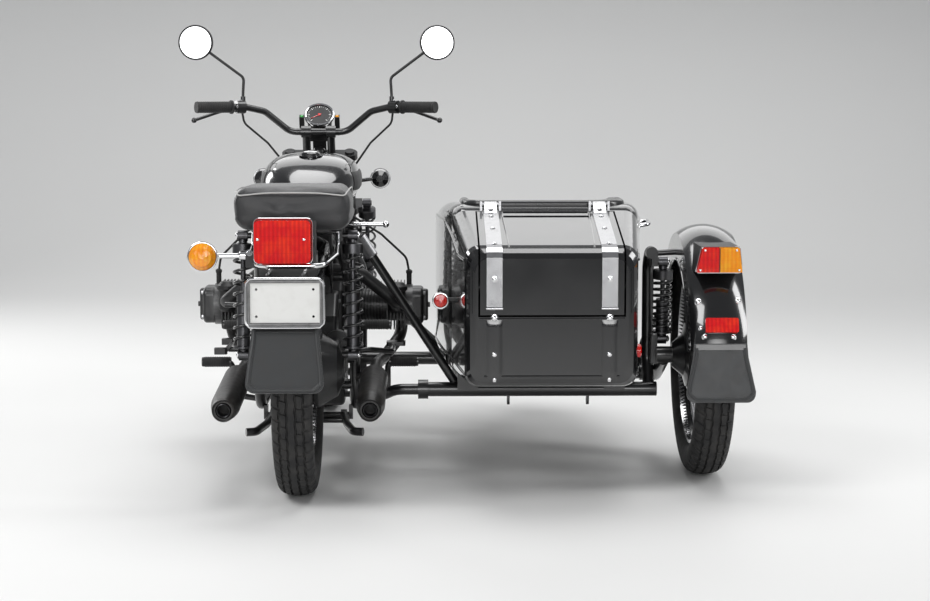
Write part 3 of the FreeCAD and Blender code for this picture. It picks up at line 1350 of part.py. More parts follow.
def make_chassis(neighbours):
    """Frame of the sidecar: two long tubes, two cross tubes that reach to the motorcycle, the hoop
    for the damper and fender, and the lashing eyes."""
    r, z = mm.chassis_radius, mm.chassis_height
    left, right = mm.chassis_left, mm.chassis_right
    shapes = []
    loop = [v(right, mm.chassis_back, z), v(right, mm.chassis_front, z), v(left, mm.chassis_front, z),
            v(left, mm.chassis_back, z)]
    shapes.append(tube(loop, r, 90))
    back = mm.chassis_back
    shapes.append(bar(v(326, back, z), v(mm.arm_x - 12, back, z), r))
    ball = v(mm.ball_x, mm.ball_y, mm.ball_z)
    shapes.append(tube([v(340, back, z), v(262, back, z), v(212, 398, 206), ball], 16, 50))
    shapes.append(Part.makeSphere(21, ball))
    shapes.append(bar(v(mm.rail_half_gap, mm.chassis_front, z), v(left + 10, mm.chassis_front, z), r))
    arm_y = 640
    shapes.append(bar(v(right, arm_y, z), v(mm.arm_x - 32, arm_y, z + 6), r))
    hoop_x, front = mm.arm_x - 34, mm.side_damper_low_y + 68
    hoop = [v(hoop_x, back, z), v(hoop_x, front, 310), v(hoop_x, front, 600),
            v(hoop_x, front - 56, 640), v(hoop_x, mm.side_damper_top_y - 20, 640)]
    shapes.append(tube(hoop, 17, 60))
    top_y, top_z = mm.side_damper_top_y, mm.side_damper_top_z
    shapes.append(bar(v(mm.arm_x - 24, top_y, top_z), v(mm.arm_x + 16, top_y, top_z), mm.stud_radius))
    shapes.append(block(v(mm.arm_x - 34, top_y - 14, top_z - 12), v(mm.arm_x - 16, top_y + 14, top_z + 24)))
    inner_side = mm.track - mm.sidecar_fender_half_width + 2
    shapes.append(bar(v(mm.arm_x - 22, mm.wheel_lead + 40, 636), v(inner_side, mm.wheel_lead + 40, 640), 9))
    shapes.append(tube([v(mm.arm_x - 32, arm_y, z), v(mm.arm_x - 20, arm_y + 26, 330), v(inner_side - 16, arm_y - 62, 430),
                        v(inner_side, arm_y - 62, 432)], 9, 40))
    shapes.append(bar(v(326, mm.chassis_back, z), v(356, mm.chassis_back, z), r + 7))
    for side in (-1, 1):
        eye_x, eye_z = mm.eyes_x + side * mm.eyes_half_gap, z - r - 12
        plate = block(v(eye_x - 4, mm.chassis_back - 13, eye_z), v(eye_x + 4, mm.chassis_back + 13, z - r + 8))
        foot = Part.makeCylinder(13, 8, v(eye_x - 4, mm.chassis_back, eye_z), RIGHT)
        hole = Part.makeCylinder(mm.eye_bore_radius, 20, v(eye_x - 10, mm.chassis_back, eye_z), RIGHT)
        shapes.append(plate.fuse(foot).cut(hole))
    for y in (mm.chassis_back, mm.chassis_front - 60):
        for side in (-1, 1):
            edge = left + 21 if side < 0 else right - 21
            support = block(v(edge - 30, y - 24, z + 2), v(edge + 30, y + 24, mm.body_floor + 14))
            shapes.append(support)
    return largest(fused(shapes).cut(together(neighbours)))


def make_struts(frame_shape, chassis_shape):
    """The two upper struts between motorcycle and sidecar, with their forked and threaded ends."""
    shapes = []
    ends = [(v(mm.seat_rail_half_gap + 34, 262, 712), v(mm.chassis_left - 4, mm.chassis_back + 16, mm.chassis_height)),
            (v(mm.rail_half_gap + 36, 1095, 460), v(mm.chassis_left - 4, mm.chassis_front - 60, mm.chassis_height))]
    for top, low in ends:
        way = (low - top).normalize()
        strut = [bar(top, low, 13), bar(top + way * 26, top + way * 96, 17),
                 Part.makeSphere(22, top)]
        shapes.append(fused(strut).cut(frame_shape).cut(chassis_shape))
    return feature("sidecar_struts", together(shapes))


def make_trailing_arm(chassis_shape):
    """Trailing arm with the stub axle and brake plate of the sidecar wheel."""
    x, r = mm.arm_x, mm.arm_radius
    hub = v(mm.track, mm.wheel_lead, mm.wheel_radius)
    arm_y = 640
    shapes = [bar(v(x - 31, arm_y, mm.chassis_height + 6), v(x + 24, arm_y, mm.chassis_height + 6), 26)]
    shapes.append(tube([v(x, arm_y, mm.chassis_height + 6), v(x, 470, 258), v(x, hub.y - 6, hub.z - 12)], r, 200))
    shapes.append(bar(v(x - 20, hub.y, hub.z), v(hub.x - 88, hub.y, hub.z), 24))
    low_y, low_z = mm.side_damper_low_y, mm.side_damper_low_z
    shapes.append(block(v(x - 32, low_y - 26, hub.z - 30), v(x - 15, low_y + 16, low_z + 14)))
    stud = bar(v(x - 24, low_y, low_z), v(x + 18, low_y, low_z), mm.stud_radius)
    shapes.append(stud)
    shapes.append(bar(v(x, hub.y, hub.z), v(hub.x + 62, hub.y, hub.z), mm.axle_radius))
    sunk = mm.hub_half_width - mm.drum_depth + mm.brake_gap
    plate = solid_of_revolution([(sunk, 9), (sunk, mm.drum_radius - mm.brake_gap), (48, mm.drum_radius - mm.brake_gap),
                                 (56, 62), (88, 34), (88, 9)], hub, -RIGHT)
    boss = Part.makeCylinder(mm.hub_nose_radius + 6, 26, v(hub.x - sunk + 1, hub.y, hub.z), -RIGHT)
    shapes.append(plate.cut(boss))
    shapes.append(bar(v(hub.x + mm.hub_nose + 1, hub.y, hub.z), v(hub.x + 66, hub.y, hub.z), 15))
    return fused(shapes).cut(chassis_shape)


# Lamps and plate

def make_tail_bracket(fender_shape):
    """Bracket on the rear fender that carries the tail lamp above and the plate below, and the tubular
    stay round the fender."""
    back = mm.tail_back
    upper = block(v(mm.tail_x - 66, back, 560), v(mm.tail_x + 84, back + 5, mm.tail_z + 50))
    ledge = block(v(-66, back, 596), v(66, -215, 601))
    arms = [block(v(mm.plate_x + side * 46 - 4, mm.plate_y + 6, 580), v(mm.plate_x + side * 46 + 4, back + 2, 640))
            for side in (1, -1)]
    webs = [block(v(side * 62 - 4, back, 520), v(side * 62 + 4, -190, 690)) for side in (1, -1)]
    whole = fused([upper, ledge] + arms + webs)
    return feature("tail_bracket", largest(whole.cut(fender_shape)))


def make_fender_stay():
    """The bright tube round the back of the rear fender."""
    x = mm.seat_rail_half_gap
    path = [v(-x, mm.seat_rail_back + 60, 732), v(-x, mm.seat_rail_back + 34, 694), v(-x - 2, -180, 676),
            v(-84, -288, 657), v(84, -288, 657), v(x + 2, -180, 676), v(x, mm.seat_rail_back + 34, 694),
            v(x, mm.seat_rail_back + 60, 732)]
    return tube(path, 7, 40)


def make_side_rod():
    """A short ball-ended rod that stands out from the right seat rail."""
    end = v(mm.seat_rail_half_gap + 124, 226, mm.seat_rail_height - 12)
    return fused([bar(v(mm.seat_rail_half_gap + 2, end.y, end.z), end, 6), Part.makeSphere(10, end)])


def make_grab_handle():
    """The passenger's handle on the sidecar body's right side."""
    side = mm.body_x + body_edges(330, 0)[0]
    return tube([v(side - 8, 330, 714), v(side + 30, 330, 720), v(side + 34, 430, 722), v(side - 4, 430, 716)], 6, 22)


def make_plate():
    body = new_body("number_plate_body")
    half, tall = cell.plate_width / 2, cell.plate_height / 2
    sketch = draw(body, "plate_outline", "XZ_Plane", [[(-half, -tall), (half, -tall), (half, tall), (-half, tall)]])
    pad(body, "plate_pad", sketch, 1.5)
    holes = draw(body, "plate_holes", "XZ_Plane",
                 [(sx * cell.plate_hole_x / 2, sz * cell.plate_hole_z / 2, cell.plate_hole_radius)
                  for sx in (1, -1) for sz in (1, -1)])
    pocket(body, "plate_hole_cut", holes, 10, midplane=True)
    return keep("number_plate", body, Placement(v(mm.plate_x, mm.plate_y, mm.plate_z), Rotation()))


def make_plate_holder():
    """Tray with a raised rim round the plate."""
    body = new_body("plate_holder_body")
    half, tall = cell.plate_width / 2 + 11, cell.plate_height / 2 + 12
    outer = [(-half, 12 - tall), (12 - half, -tall), (half - 12, -tall), (half, 12 - tall), (half, tall - 12),
             (half - 12, tall), (12 - half, tall), (-half, tall - 12)]
    sketch = draw(body, "holder_outline", "XZ_Plane", [outer], Placement(Vector(0, 0, -8), Rotation()))
    pad(body, "holder_pad", sketch, 14)
    inner = [(4 - half, 14 - tall), (14 - half, 4 - tall), (half - 14, 4 - tall), (half - 4, 14 - tall),
             (half - 4, tall - 14), (half - 14, tall - 4), (14 - half, tall - 4), (4 - half, tall - 14)]
    tray = draw(body, "holder_tray", "XZ_Plane", [inner], Placement(Vector(0, 0, 0), Rotation()))
    pocket(body, "holder_tray_cut", tray, 20, reverse=True)
    holes = draw(body, "holder_holes", "XZ_Plane",
                 [(sx * cell.plate_hole_x / 2, sz * cell.plate_hole_z / 2, cell.plate_hole_radius)
                  for sx in (1, -1) for sz in (1, -1)])
    pocket(body, "holder_hole_cut", holes, 40, midplane=True)
    return keep("plate_tray", body, Placement(v(mm.plate_x, mm.plate_y, mm.plate_z), Rotation()))


def rounded_block(low, high, radius, way):
    """A block whose edges along one way, and those round its far end, are rounded."""
    shape = block(low, high)
    edges = [e for e in shape.Edges if abs(e.tangentAt(e.FirstParameter).dot(way)) > 0.9]
    return shape.makeFillet(radius, edges)


def make_reflectors(fender_shape):
    """A long reflector on the back of the sidecar's fender and a round one on the body's side."""
    outer = mm.wheel_radius + mm.fender_gap + mm.fender_wall
    long = rounded_block(v(-40, -outer - 8, -20), v(50, 11 - outer, 20), 5, FORWARD)
    long = turned(long, RIGHT, -19.7).translated(WHEELS["sidecar"][0])
    side, y = mm.body_x + body_edges(-110, 0)[0], -110
    disc = solid_of_revolution([(0, 0), (0, 18), (13, 18), (16, 14), (17, 0)], v(side - 6, y, 410), RIGHT)
    return [largest(long.cut(fender_shape)), disc]


def make_lamps(fender_shape):
    """Lamp housings and their lenses on the motorcycle's tail and the sidecar."""
    housings, red, amber = [], [], []
    w, h, x, z, back = mm.tail_width / 2, mm.tail_height / 2, mm.tail_x, mm.tail_z, mm.tail_back
    housings.append(rounded_block(v(x - w - 3, back - 24, z - h - 3), v(x + w + 3, back, z + h + 3), 14, FORWARD))
    red.append(rounded_block(v(x - w, back - 66, z - h), v(x + w, back - 24, z + h), 13, FORWARD))
    # the round direction lamp on the left
    x, y, lz = -231, -250, 678
    housings.append(fused([
        solid_of_revolution([(0, 0), (0, 38), (16, 38), (40, 30), (56, 12), (58, 0)], v(x, y, lz), FORWARD),
        bar(v(x + 20, y + 27, lz), v(-108, y + 27, lz), 6),
        rounded_block(v(-120, y + 4, lz - 30), v(-84, y + 45, lz + 10), 6, FORWARD)]))
    amber.append(solid_of_revolution([(0, 0), (0, 36), (8, 35), (20, 24), (26, 0)], v(x, y - 0.1, lz), -FORWARD))
    # the lamp pod on the sidecar's fender
    middle = v(mm.track, mm.wheel_lead - 320, 650)
    pod = [v(-64, 0, -36), v(64, 0, -36), v(56, 0, 34), v(-48, 0, 34)]
    pod_face = Part.Face(Part.makePolygon(pod + pod[:1]))
    pod_solid = pod_face.extrude(Vector(0, 170, 0)).translated(middle)
    housings.append(largest(pod_solid.cut(fender_shape)))
    glass = [v(-62, 0, -34), v(0, 0, -34), v(0, 0, 32), v(-46, 0, 32)]
    red_face = Part.Face(Part.makePolygon(glass + glass[:1])).extrude(Vector(0, -18, 0))
    red_face.translate(middle)
    red.append(red_face)
    glass = [v(0.2, 0, -34), v(62, 0, -34), v(54, 0, 32), v(0.2, 0, 32)]
    amber_face = Part.Face(Part.makePolygon(glass + glass[:1])).extrude(Vector(0, -18, 0))
    amber_face.translate(middle)
    amber.append(amber_face)
    red += make_reflectors(fender_shape)
    # the round marker on the sidecar body's left side
    x, y, lz = 391, 100, 523
    wall_x = mm.body_x - body_edges(y + 20, 0)[0]
    marker = fused([solid_of_revolution([(0, 0), (0, 22), (22, 21), (38, 12), (42, 0)], v(x, y, lz), FORWARD),
                    bar(v(x, y + 18, lz), v(wall_x + 8, y + 18, lz), 7)])
    housings.append(marker)
    red.append(solid_of_revolution([(0, 0), (0, 19), (5, 17), (8, 0)], v(x, y - 0.1, lz), -FORWARD))
    return housings, red, amber


# Steering pieces

def make_handlebar():
    right = [v(0, 1100, 967), v(92, 1100, 967), v(172, 1072, 1034), grip_root(), grip_end()]
    path = [v(-p.x, p.y, p.z) for p in reversed(right[1:])] + right
    return tube(path, mm.bar_radius, 55)


def grip_end():
    return v(mm.grip_end_x, mm.grip_end_y, mm.grip_z)


def grip_root():
    """Where the handlebar's straight end begins."""
    return v(232, 1046, mm.grip_z)


def grip_way():
    return (grip_end() - grip_root()).normalize()


def control_foot():
    """Inner end of the right grip, where the controls begin."""
    return grip_end() - grip_way() * (mm.grip_length + 8)


def make_grips(handlebar):
    way = grip_way()
    end = grip_end() + way * 4
    start = end - way * mm.grip_length
    grip = solid_of_revolution([(0, 0), (0, 22), (5, 22), (6, mm.grip_radius), (mm.grip_length - 8, mm.grip_radius),
                                (mm.grip_length - 6, mm.grip_radius + 2), (mm.grip_length, mm.grip_radius + 1),
                                (mm.grip_length, 0)], start, way)
    grip = grip.cut(handlebar)
    return feature("grips", together(both(largest(grip))))


def make_controls(handlebar):
    """Switch blocks, lever perches and levers."""
    way, foot = grip_way(), control_foot()
    across = way.cross(UP).normalize()
    if across.y < 0:
        across = -across
    housing = bar(foot - way * 31, foot - way * 2, 21)
    perch = tube([foot - way * 20, foot - way * 14 + across * 34 - UP * 6], 11)
    lever = tube([foot - way * 14 + across * 34 - UP * 6, foot + way * 30 + across * 52 - UP * 14,
                  foot + way * 126 + across * 44 - UP * 42], 5.5, 60)
    tip = Part.makeSphere(9, foot + way * 126 + across * 44 - UP * 42)
    socket = bar(foot - way * 26 + UP * 12, foot - way * 26 + UP * 34, 8)
    shape = fused([housing, perch, lever, tip, socket]).cut(handlebar)
    return feature("hand_controls", together(both(largest(shape))))


def make_mirrors(controls):
    base = control_foot() - grip_way() * 26 + UP * 34
    centre = v(387, 1022, 1254)
    stem = tube([base, v(236, 1042, 1142), v(346, 1030, 1224), centre + v(0, 12, 0)], 4.5, 22)
    shell = solid_of_revolution([(0, 0), (0, mm.mirror_radius - 3), (1, mm.mirror_radius), (10, mm.mirror_radius),
                                 (17, mm.mirror_radius - 8), (22, 22), (24, 0)], centre, v(-0.10, 1, 0.0).normalize())
    whole = fused([stem, shell])
    glass = Part.makeCylinder(mm.mirror_radius - 4, 2, centre, -v(-0.10, 1, 0.0).normalize())
    feature("mirrors", together(both(whole.cut(controls))))
    feature("mirror_glass", together(both(glass)))


def make_cables(controls, headlamp):
    """Cables from the hand controls down into the headlamp's shell."""
    root = control_foot() - grip_way() * 20
    path = [root, root + v(-6, 26, -52), v(168, 1130, 930), v(112, 1210, 850), v(52, 1300, 826)]
    cables = [largest(cable.cut(controls).cut(headlamp)) for cable in both(tube(path, mm.lead_radius, 50))]
    return feature("control_cables", together(cables))


def make_front_turn_lamps(fork):
    """Direction lamps on stalks from the fork's ears. Returns their housings."""
    housings, lenses = [], []
    x, y, z = 196, 1246, 806
    housing = fused([solid_of_revolution([(0, 0), (0, 12), (14, 28), (40, 33), (44, 33), (44, 0)], v(x, y, z), FORWARD),
                     bar(v(mm.leg_x - 8, y + 18, z - 11), v(x - 22, y + 18, z), 7)])
    lens = solid_of_revolution([(0, 0), (0, 31), (8, 30), (18, 20), (22, 0)], v(x, y + 44.1, z), FORWARD)
    for shape, glass in zip(both(housing), both(lens)):
        housings.append(largest(shape.cut(fork)))
        lenses.append(glass)
    feature("front_turn_lenses", together(lenses))
    return housings


def make_headlamp(fork):
    middle = v(0, 1334, 808)
    shell = solid_of_revolution([(-80, 0), (-78, 20), (-64, 52), (-42, 74), (-10, 84), (34, 86), (40, 89), (48, 89),
                                 (48, 0)], middle, FORWARD)
    bolts = bar(v(-mm.leg_x + 8, 1330, 806), v(mm.leg_x - 8, 1330, 806), 8)
    whole = largest(fused([shell, bolts]).cut(fork))
    feature("front_lamps", together([whole] + make_front_turn_lamps(fork)))
    lens = solid_of_revolution([(0, 0), (0, 84), (6, 78), (14, 52), (18, 0)], middle + v(0, 48.1, 0), FORWARD)
    feature("headlamp_lens", lens)
    return whole


def make_gauge(fork):
    """Round instrument above the upper yoke on its bracket."""
    lean = Vector(0, -0.34, 0.94)
    case = solid_of_revolution([(0, 0), (0, 26), (12, 38), (58, 42), (60, 48), (72, 48), (72, 42), (68, 42), (68, 0)],
                               v(0, 92, 70), lean)
    plate = Part.makeBox(72, 96, 6, v(-36, 20, 62))
    post = Part.makeBox(44, 10, 54, v(-22, 34, 10))
    lights = []
    for side in (1, -1):
        lights.append(Part.makeBox(16, 20, 66, v(side * 58 - 8, 62, 62)))
        lights.append(Part.makeBox(30, 12, 6, v(side * 44 - 15, 66, 62)))
    whole = in_steering_frame(fused([case, plate, post] + lights)).cut(fork)
    return feature("gauge", largest(whole))


# Controls at the feet, and the stand

def make_foot_gear(frame_shape, gearbox_shape):
    """Foot rests of rider and passenger, brake pedal, gear rocker and kick lever."""
    gap = mm.rail_half_gap
    rest = tube([v(gap, 540, mm.rail_height), v(234, 540, 190), v(234, 540, 290), v(326, 540, 290)], 9, 20)
    peg = bar(v(238, 540, 290), v(326, 540, 290), 14)
    rider = fused([rest, peg])
    pillion = fused([bar(v(gap, mm.upright_y, 420), v(gap + 106, mm.upright_y, 420), 8),
                     bar(v(gap + 24, mm.upright_y, 420), v(gap + 106, mm.upright_y, 420), 13)])
    shapes = both(rider) + both(pillion)
    brake = fused([tube([v(gap, mm.upright_y, 340), v(gap + 44, mm.upright_y + 14, 344), v(248, 470, 330),
                         v(248, 650, 322)], 8, 30),
                   rounded_block(v(228, 636, 324), v(286, 684, 336), 8, UP)])
    shapes.append(brake)
    rocker = fused([bar(v(-mm.gearbox_half_width, 585, 322), v(-250, 585, 322), 8),
                    bar(v(-250, 480, 330), v(-250, 700, 326), 7),
                    rounded_block(v(-282, 686, 322), v(-244, 716, 340), 6, UP),
                    rounded_block(v(-282, 466, 322), v(-244, 496, 340), 6, UP)])
    shapes.append(rocker)
    kick = tube([v(-mm.gearbox_half_width, 520, 400), v(-168, 520, 400), v(-172, 452, 470), v(-246, 448, 474)], 8, 18)
    shapes.append(kick)
    return [shape.cut(frame_shape).cut(gearbox_shape) for shape in shapes]


def make_stand():
    """Centre stand, folded back under the frame."""
    pivot = v(0, 438, 146)
    eyes = []
    for side in (1, -1):
        eyes.append(bar(v(side * 96, pivot.y, pivot.z), v(side * 114, pivot.y, pivot.z), 15))
    legs = both(tube([v(105, 438, 146), v(118, 340, 134), v(140, 246, 128), v(168, 238, 128)], 12, 40))
    cross = bar(v(-112, 385, 139), v(112, 385, 139), 10)
    whole = fused(eyes + legs + [cross])
    return whole.cut(bar(v(-200, pivot.y, pivot.z), v(200, pivot.y, pivot.z), 8.1))


def make_battery():
    body = new_body("battery_box_body")
    sketch = draw(body, "battery_outline", "XY_Plane",
                  [[(-78.0, 322.0), (78.0, 322.0), (78.0, 386.8), (-78.0, 386.8)]],
                  Placement(Vector(0, 0, 520), Rotation()))
    pad(body, "battery_pad", sketch, 170)
    round_edges(body, "battery_rounds", 8, lambda e: abs(e.tangentAt(e.FirstParameter).z) > 0.9)
    return keep("battery_box", body)


def build():
    for name, (middle, side) in WHEELS.items():
        make_tyre(name, middle)
        make_wheel(name, middle, side)
    make_disc()
    frame = make_frame()
    frame_shape = plain(frame)
    engine = make_engine()
    keep("engine_unseated", engine)
    nodes["engine_case"] = cut("engine_seated", nodes.pop("engine_unseated"), [frame])
    nodes["engine_case"].Label = "engine_case"
    gearbox = make_gearbox()
    cylinder_shape = plain(gather("cylinders", make_cylinders()))
    make_rocker_covers()
    cleaner_shape = plain(make_air_cleaner())
    feature("ducts", together([duct.cut(cleaner_shape).cut(cylinder_shape) for duct in make_intake().Solids]))
    join("intake", ["air_cleaner", "ducts"])
    make_spark_leads(frame_shape, cylinder_shape)
    pipes = make_exhaust()
    mufflers = make_mufflers()
    pipe_shape = plain(pipes)
    hangers = muffler_hangers()
    muffler_set = []
    for shape, hanger in zip(mufflers, hangers):
        muffler_set.append(shape.cut(pipe_shape).fuse(hanger.cut(frame_shape)))
    feature("mufflers", together(muffler_set))
    drive = make_final_drive()
    gearbox_shape = plain(gearbox)
    swing = make_swing_arm(frame_shape).cut(drive)
    feature("swing_arm", swing)
    feature("final_drive", drive.cut(gearbox_shape))
    make_rear_suspension()
    fork = make_fork()
    feature("fork", fork)
    links = make_links()
    feature("fork_links", links.cut(fork))
    feature("front_caliper", largest(make_caliper().cut(links)))
    make_front_suspension()
    make_fender("rear_fender", WHEELS["rear"][0], cell.rear_fender_half_width, cell.rear_skirt, 40, 117.5)
    make_fender("front_fender", WHEELS["front"][0], cell.front_fender_half_width, cell.front_skirt, 30, 158)
    make_fender("sidecar_fender", WHEELS["sidecar"][0], cell.sidecar_fender_half_width, cell.sidecar_skirt, 14, 156.5)
    document.recompute()
    make_flaps()
    tank = make_tank().cut(frame_shape)
    cap = solid_of_revolution([(0, 0), (0, 30), (22, 30), (26, 26), (28, 0)], v(0, 640, mm.tank_top - 20), UP)
    feature("fuel_tank", fused([tank, cap]))
    make_bench()
    body, lid, outside = make_sidecar()
    roll = make_roll().cut(body)
    feature("sidecar_body", body)
    feature("cockpit_roll", largest(roll))
    feature("lid_straps", make_lid(lid, outside))
    make_sidecar_seat()
    side_fender_shape = plain(nodes["sidecar_fender"])
    chassis = make_chassis([frame_shape, outside, side_fender_shape])
    feature("sidecar_frame", chassis)
    make_struts(frame_shape, chassis)
    feature("trailing_arm", make_trailing_arm(chassis))
    rear_fender_shape = plain(nodes["rear_fender"])
    bracket = make_tail_bracket(rear_fender_shape)
    stay = make_fender_stay().cut(frame_shape).cut(plain(bracket))
    rod = largest(make_side_rod().cut(frame_shape))
    feature("bright_tubes", together([stay, rod, largest(make_grab_handle().cut(body))]))
    make_plate()
    make_plate_holder()
    join("plate_holder", ["plate_tray", "tail_bracket"])
    housings, red, amber = make_lamps(side_fender_shape)
    housings = [largest(housing.cut(body).cut(stay)) for housing in housings]
    feature("lamp_housings", together(housings))
    feature("red_lenses", together([largest(lens.cut(body)) for lens in red]))
    feature("amber_lenses", together(amber))
    handlebar = make_handlebar()
    bar_seated = handlebar.cut(fork)
    feature("handlebar", together(bar_seated.Solids))
    make_grips(handlebar)
    controls = make_controls(handlebar)
    make_mirrors(plain(controls))
    make_cables(plain(controls), make_headlamp(fork))
    make_gauge(fork)
    feature("foot_gear", together(make_foot_gear(frame_shape, gearbox_shape)))
    feature("centre_stand", make_stand())
    make_battery()


def plain(item):
    """An object's shape before the step into the row frame."""
    document.recompute()
    shape = item.Shape.copy()
    shape.translate(Vector(mm.outfit_centre_x, mm.outfit_centre_y, 0))
    return shape


def check_and_write():
    document.recompute()
    faults = []
    for item in document.Objects:
        if "Invalid" in item.State or "Error" in item.State:
            faults.append(f"{item.Name}: {item.State}")
    for node, item in nodes.items():
        if item.Shape.isNull() or not item.Shape.isValid() or not item.Shape.Solids:
            faults.append(f"{node}: its shape is not a valid solid")
    if faults:
        raise RuntimeError("; ".join(faults))
    os.makedirs("parts", exist_ok=True)
    for old in os.listdir("parts"):
        if old.endswith(".step") and old[:-5] not in nodes:
            os.remove(f"parts/{old}")
    for node, item in nodes.items():
        item.Shape.exportStep(f"parts/{node}.step")
        print(node, len(item.Shape.Solids), round(item.Shape.Volume / 1000))


build()
check_and_write()
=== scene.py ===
import math

import bmesh
import bpy
import numpy as np
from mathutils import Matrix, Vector
from mathutils.bvhtree import BVHTree


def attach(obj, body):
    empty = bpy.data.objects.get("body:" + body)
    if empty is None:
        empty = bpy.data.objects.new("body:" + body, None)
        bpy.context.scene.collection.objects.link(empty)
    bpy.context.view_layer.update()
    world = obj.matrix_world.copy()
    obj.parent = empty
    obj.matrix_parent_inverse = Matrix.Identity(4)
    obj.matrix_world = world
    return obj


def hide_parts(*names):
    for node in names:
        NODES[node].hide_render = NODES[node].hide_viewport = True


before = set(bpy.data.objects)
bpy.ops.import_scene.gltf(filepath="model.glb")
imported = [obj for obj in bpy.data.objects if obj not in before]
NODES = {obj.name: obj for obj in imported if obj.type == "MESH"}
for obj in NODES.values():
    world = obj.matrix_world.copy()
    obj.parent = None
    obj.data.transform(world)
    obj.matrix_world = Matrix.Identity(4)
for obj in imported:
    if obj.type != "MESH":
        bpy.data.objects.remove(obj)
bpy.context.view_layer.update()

RIGHT, FORWARD, UP = Vector((1, 0, 0)), Vector((0, 1, 0)), Vector((0, 0, 1))
SIDES = ((1, "right"), (-1, "left"))

# From the floor under the rear axle, where the source measures from, to the row frame's origin
STEP = Vector((-0.405, -0.712, 0.0))

# Places that repeat the source's, in millimetres from the floor under the rear axle
AXLE_Z = 345
FRONT_AXLE_Y = 1500
SIDE_AXLE_X, SIDE_AXLE_Y = 1148, 280
SIDECAR_X = 685
STRAP_OFFSET = 153
PLATE_X, PLATE_Z = -10, 569
TAIL_LAMP_X, TAIL_LAMP_Z = -18, 722
SIDE_LAMP_Z = 650
FLAP_FACE = 384.3
YOKE_Y, YOKE_Z = 1146, 870
RAKE = math.radians(26)

# Where rays start, in millimetres: well behind the tail lamp, beside an engine and above the lid
BEHIND, BESIDE, ABOVE = -500, 500, 900

WHEELS = {
    "front": (Vector((0.0, FRONT_AXLE_Y / 1000, AXLE_Z / 1000)), "front_wheel_set"),
    "rear": (Vector((0.0, 0.0, AXLE_Z / 1000)), "rear_wheel_set"),
    "sidecar": (Vector((SIDE_AXLE_X / 1000, SIDE_AXLE_Y / 1000, AXLE_Z / 1000)), "sidecar_wheel_set"),
}


def at(x, y, z):
    """A place given in millimetres from the floor under the rear axle, in the row frame."""
    return Vector((x, y, z)) / 1000 + STEP


def steer(x, ahead, up):
    """A place given from where the steering axis meets the upper yoke, in millimetres."""
    return at(x, YOKE_Y + ahead * math.cos(RAKE) - up * math.sin(RAKE),
              YOKE_Z + ahead * math.sin(RAKE) + up * math.cos(RAKE))


STEER_UP = (steer(0, 0, 1) - steer(0, 0, 0)).normalized()
STEER_AHEAD = (steer(0, 1, 0) - steer(0, 0, 0)).normalized()


# Materials

class Wave:
    """A value that varies over a surface: a node's socket that takes sums and products like a number."""

    def __init__(self, finish, socket):
        self.finish = finish
        self.socket = socket

    def apply(self, operation, other):
        node = self.finish.add("ShaderNodeMath", {"operation": operation}, {0: self, 1: other})
        return Wave(self.finish, node.outputs[0])

    def __add__(self, other):
        return self.apply("ADD", other)

    def __mul__(self, other):
        return self.apply("MULTIPLY", other)

    __radd__ = __add__
    __rmul__ = __mul__

    def over(self, low, high):
        """Nought below low, one above high, and straight between."""
        node = self.finish.add("ShaderNodeMapRange", {}, {"Value": self, "From Min": low, "From Max": high})
        return Wave(self.finish, node.outputs["Result"])


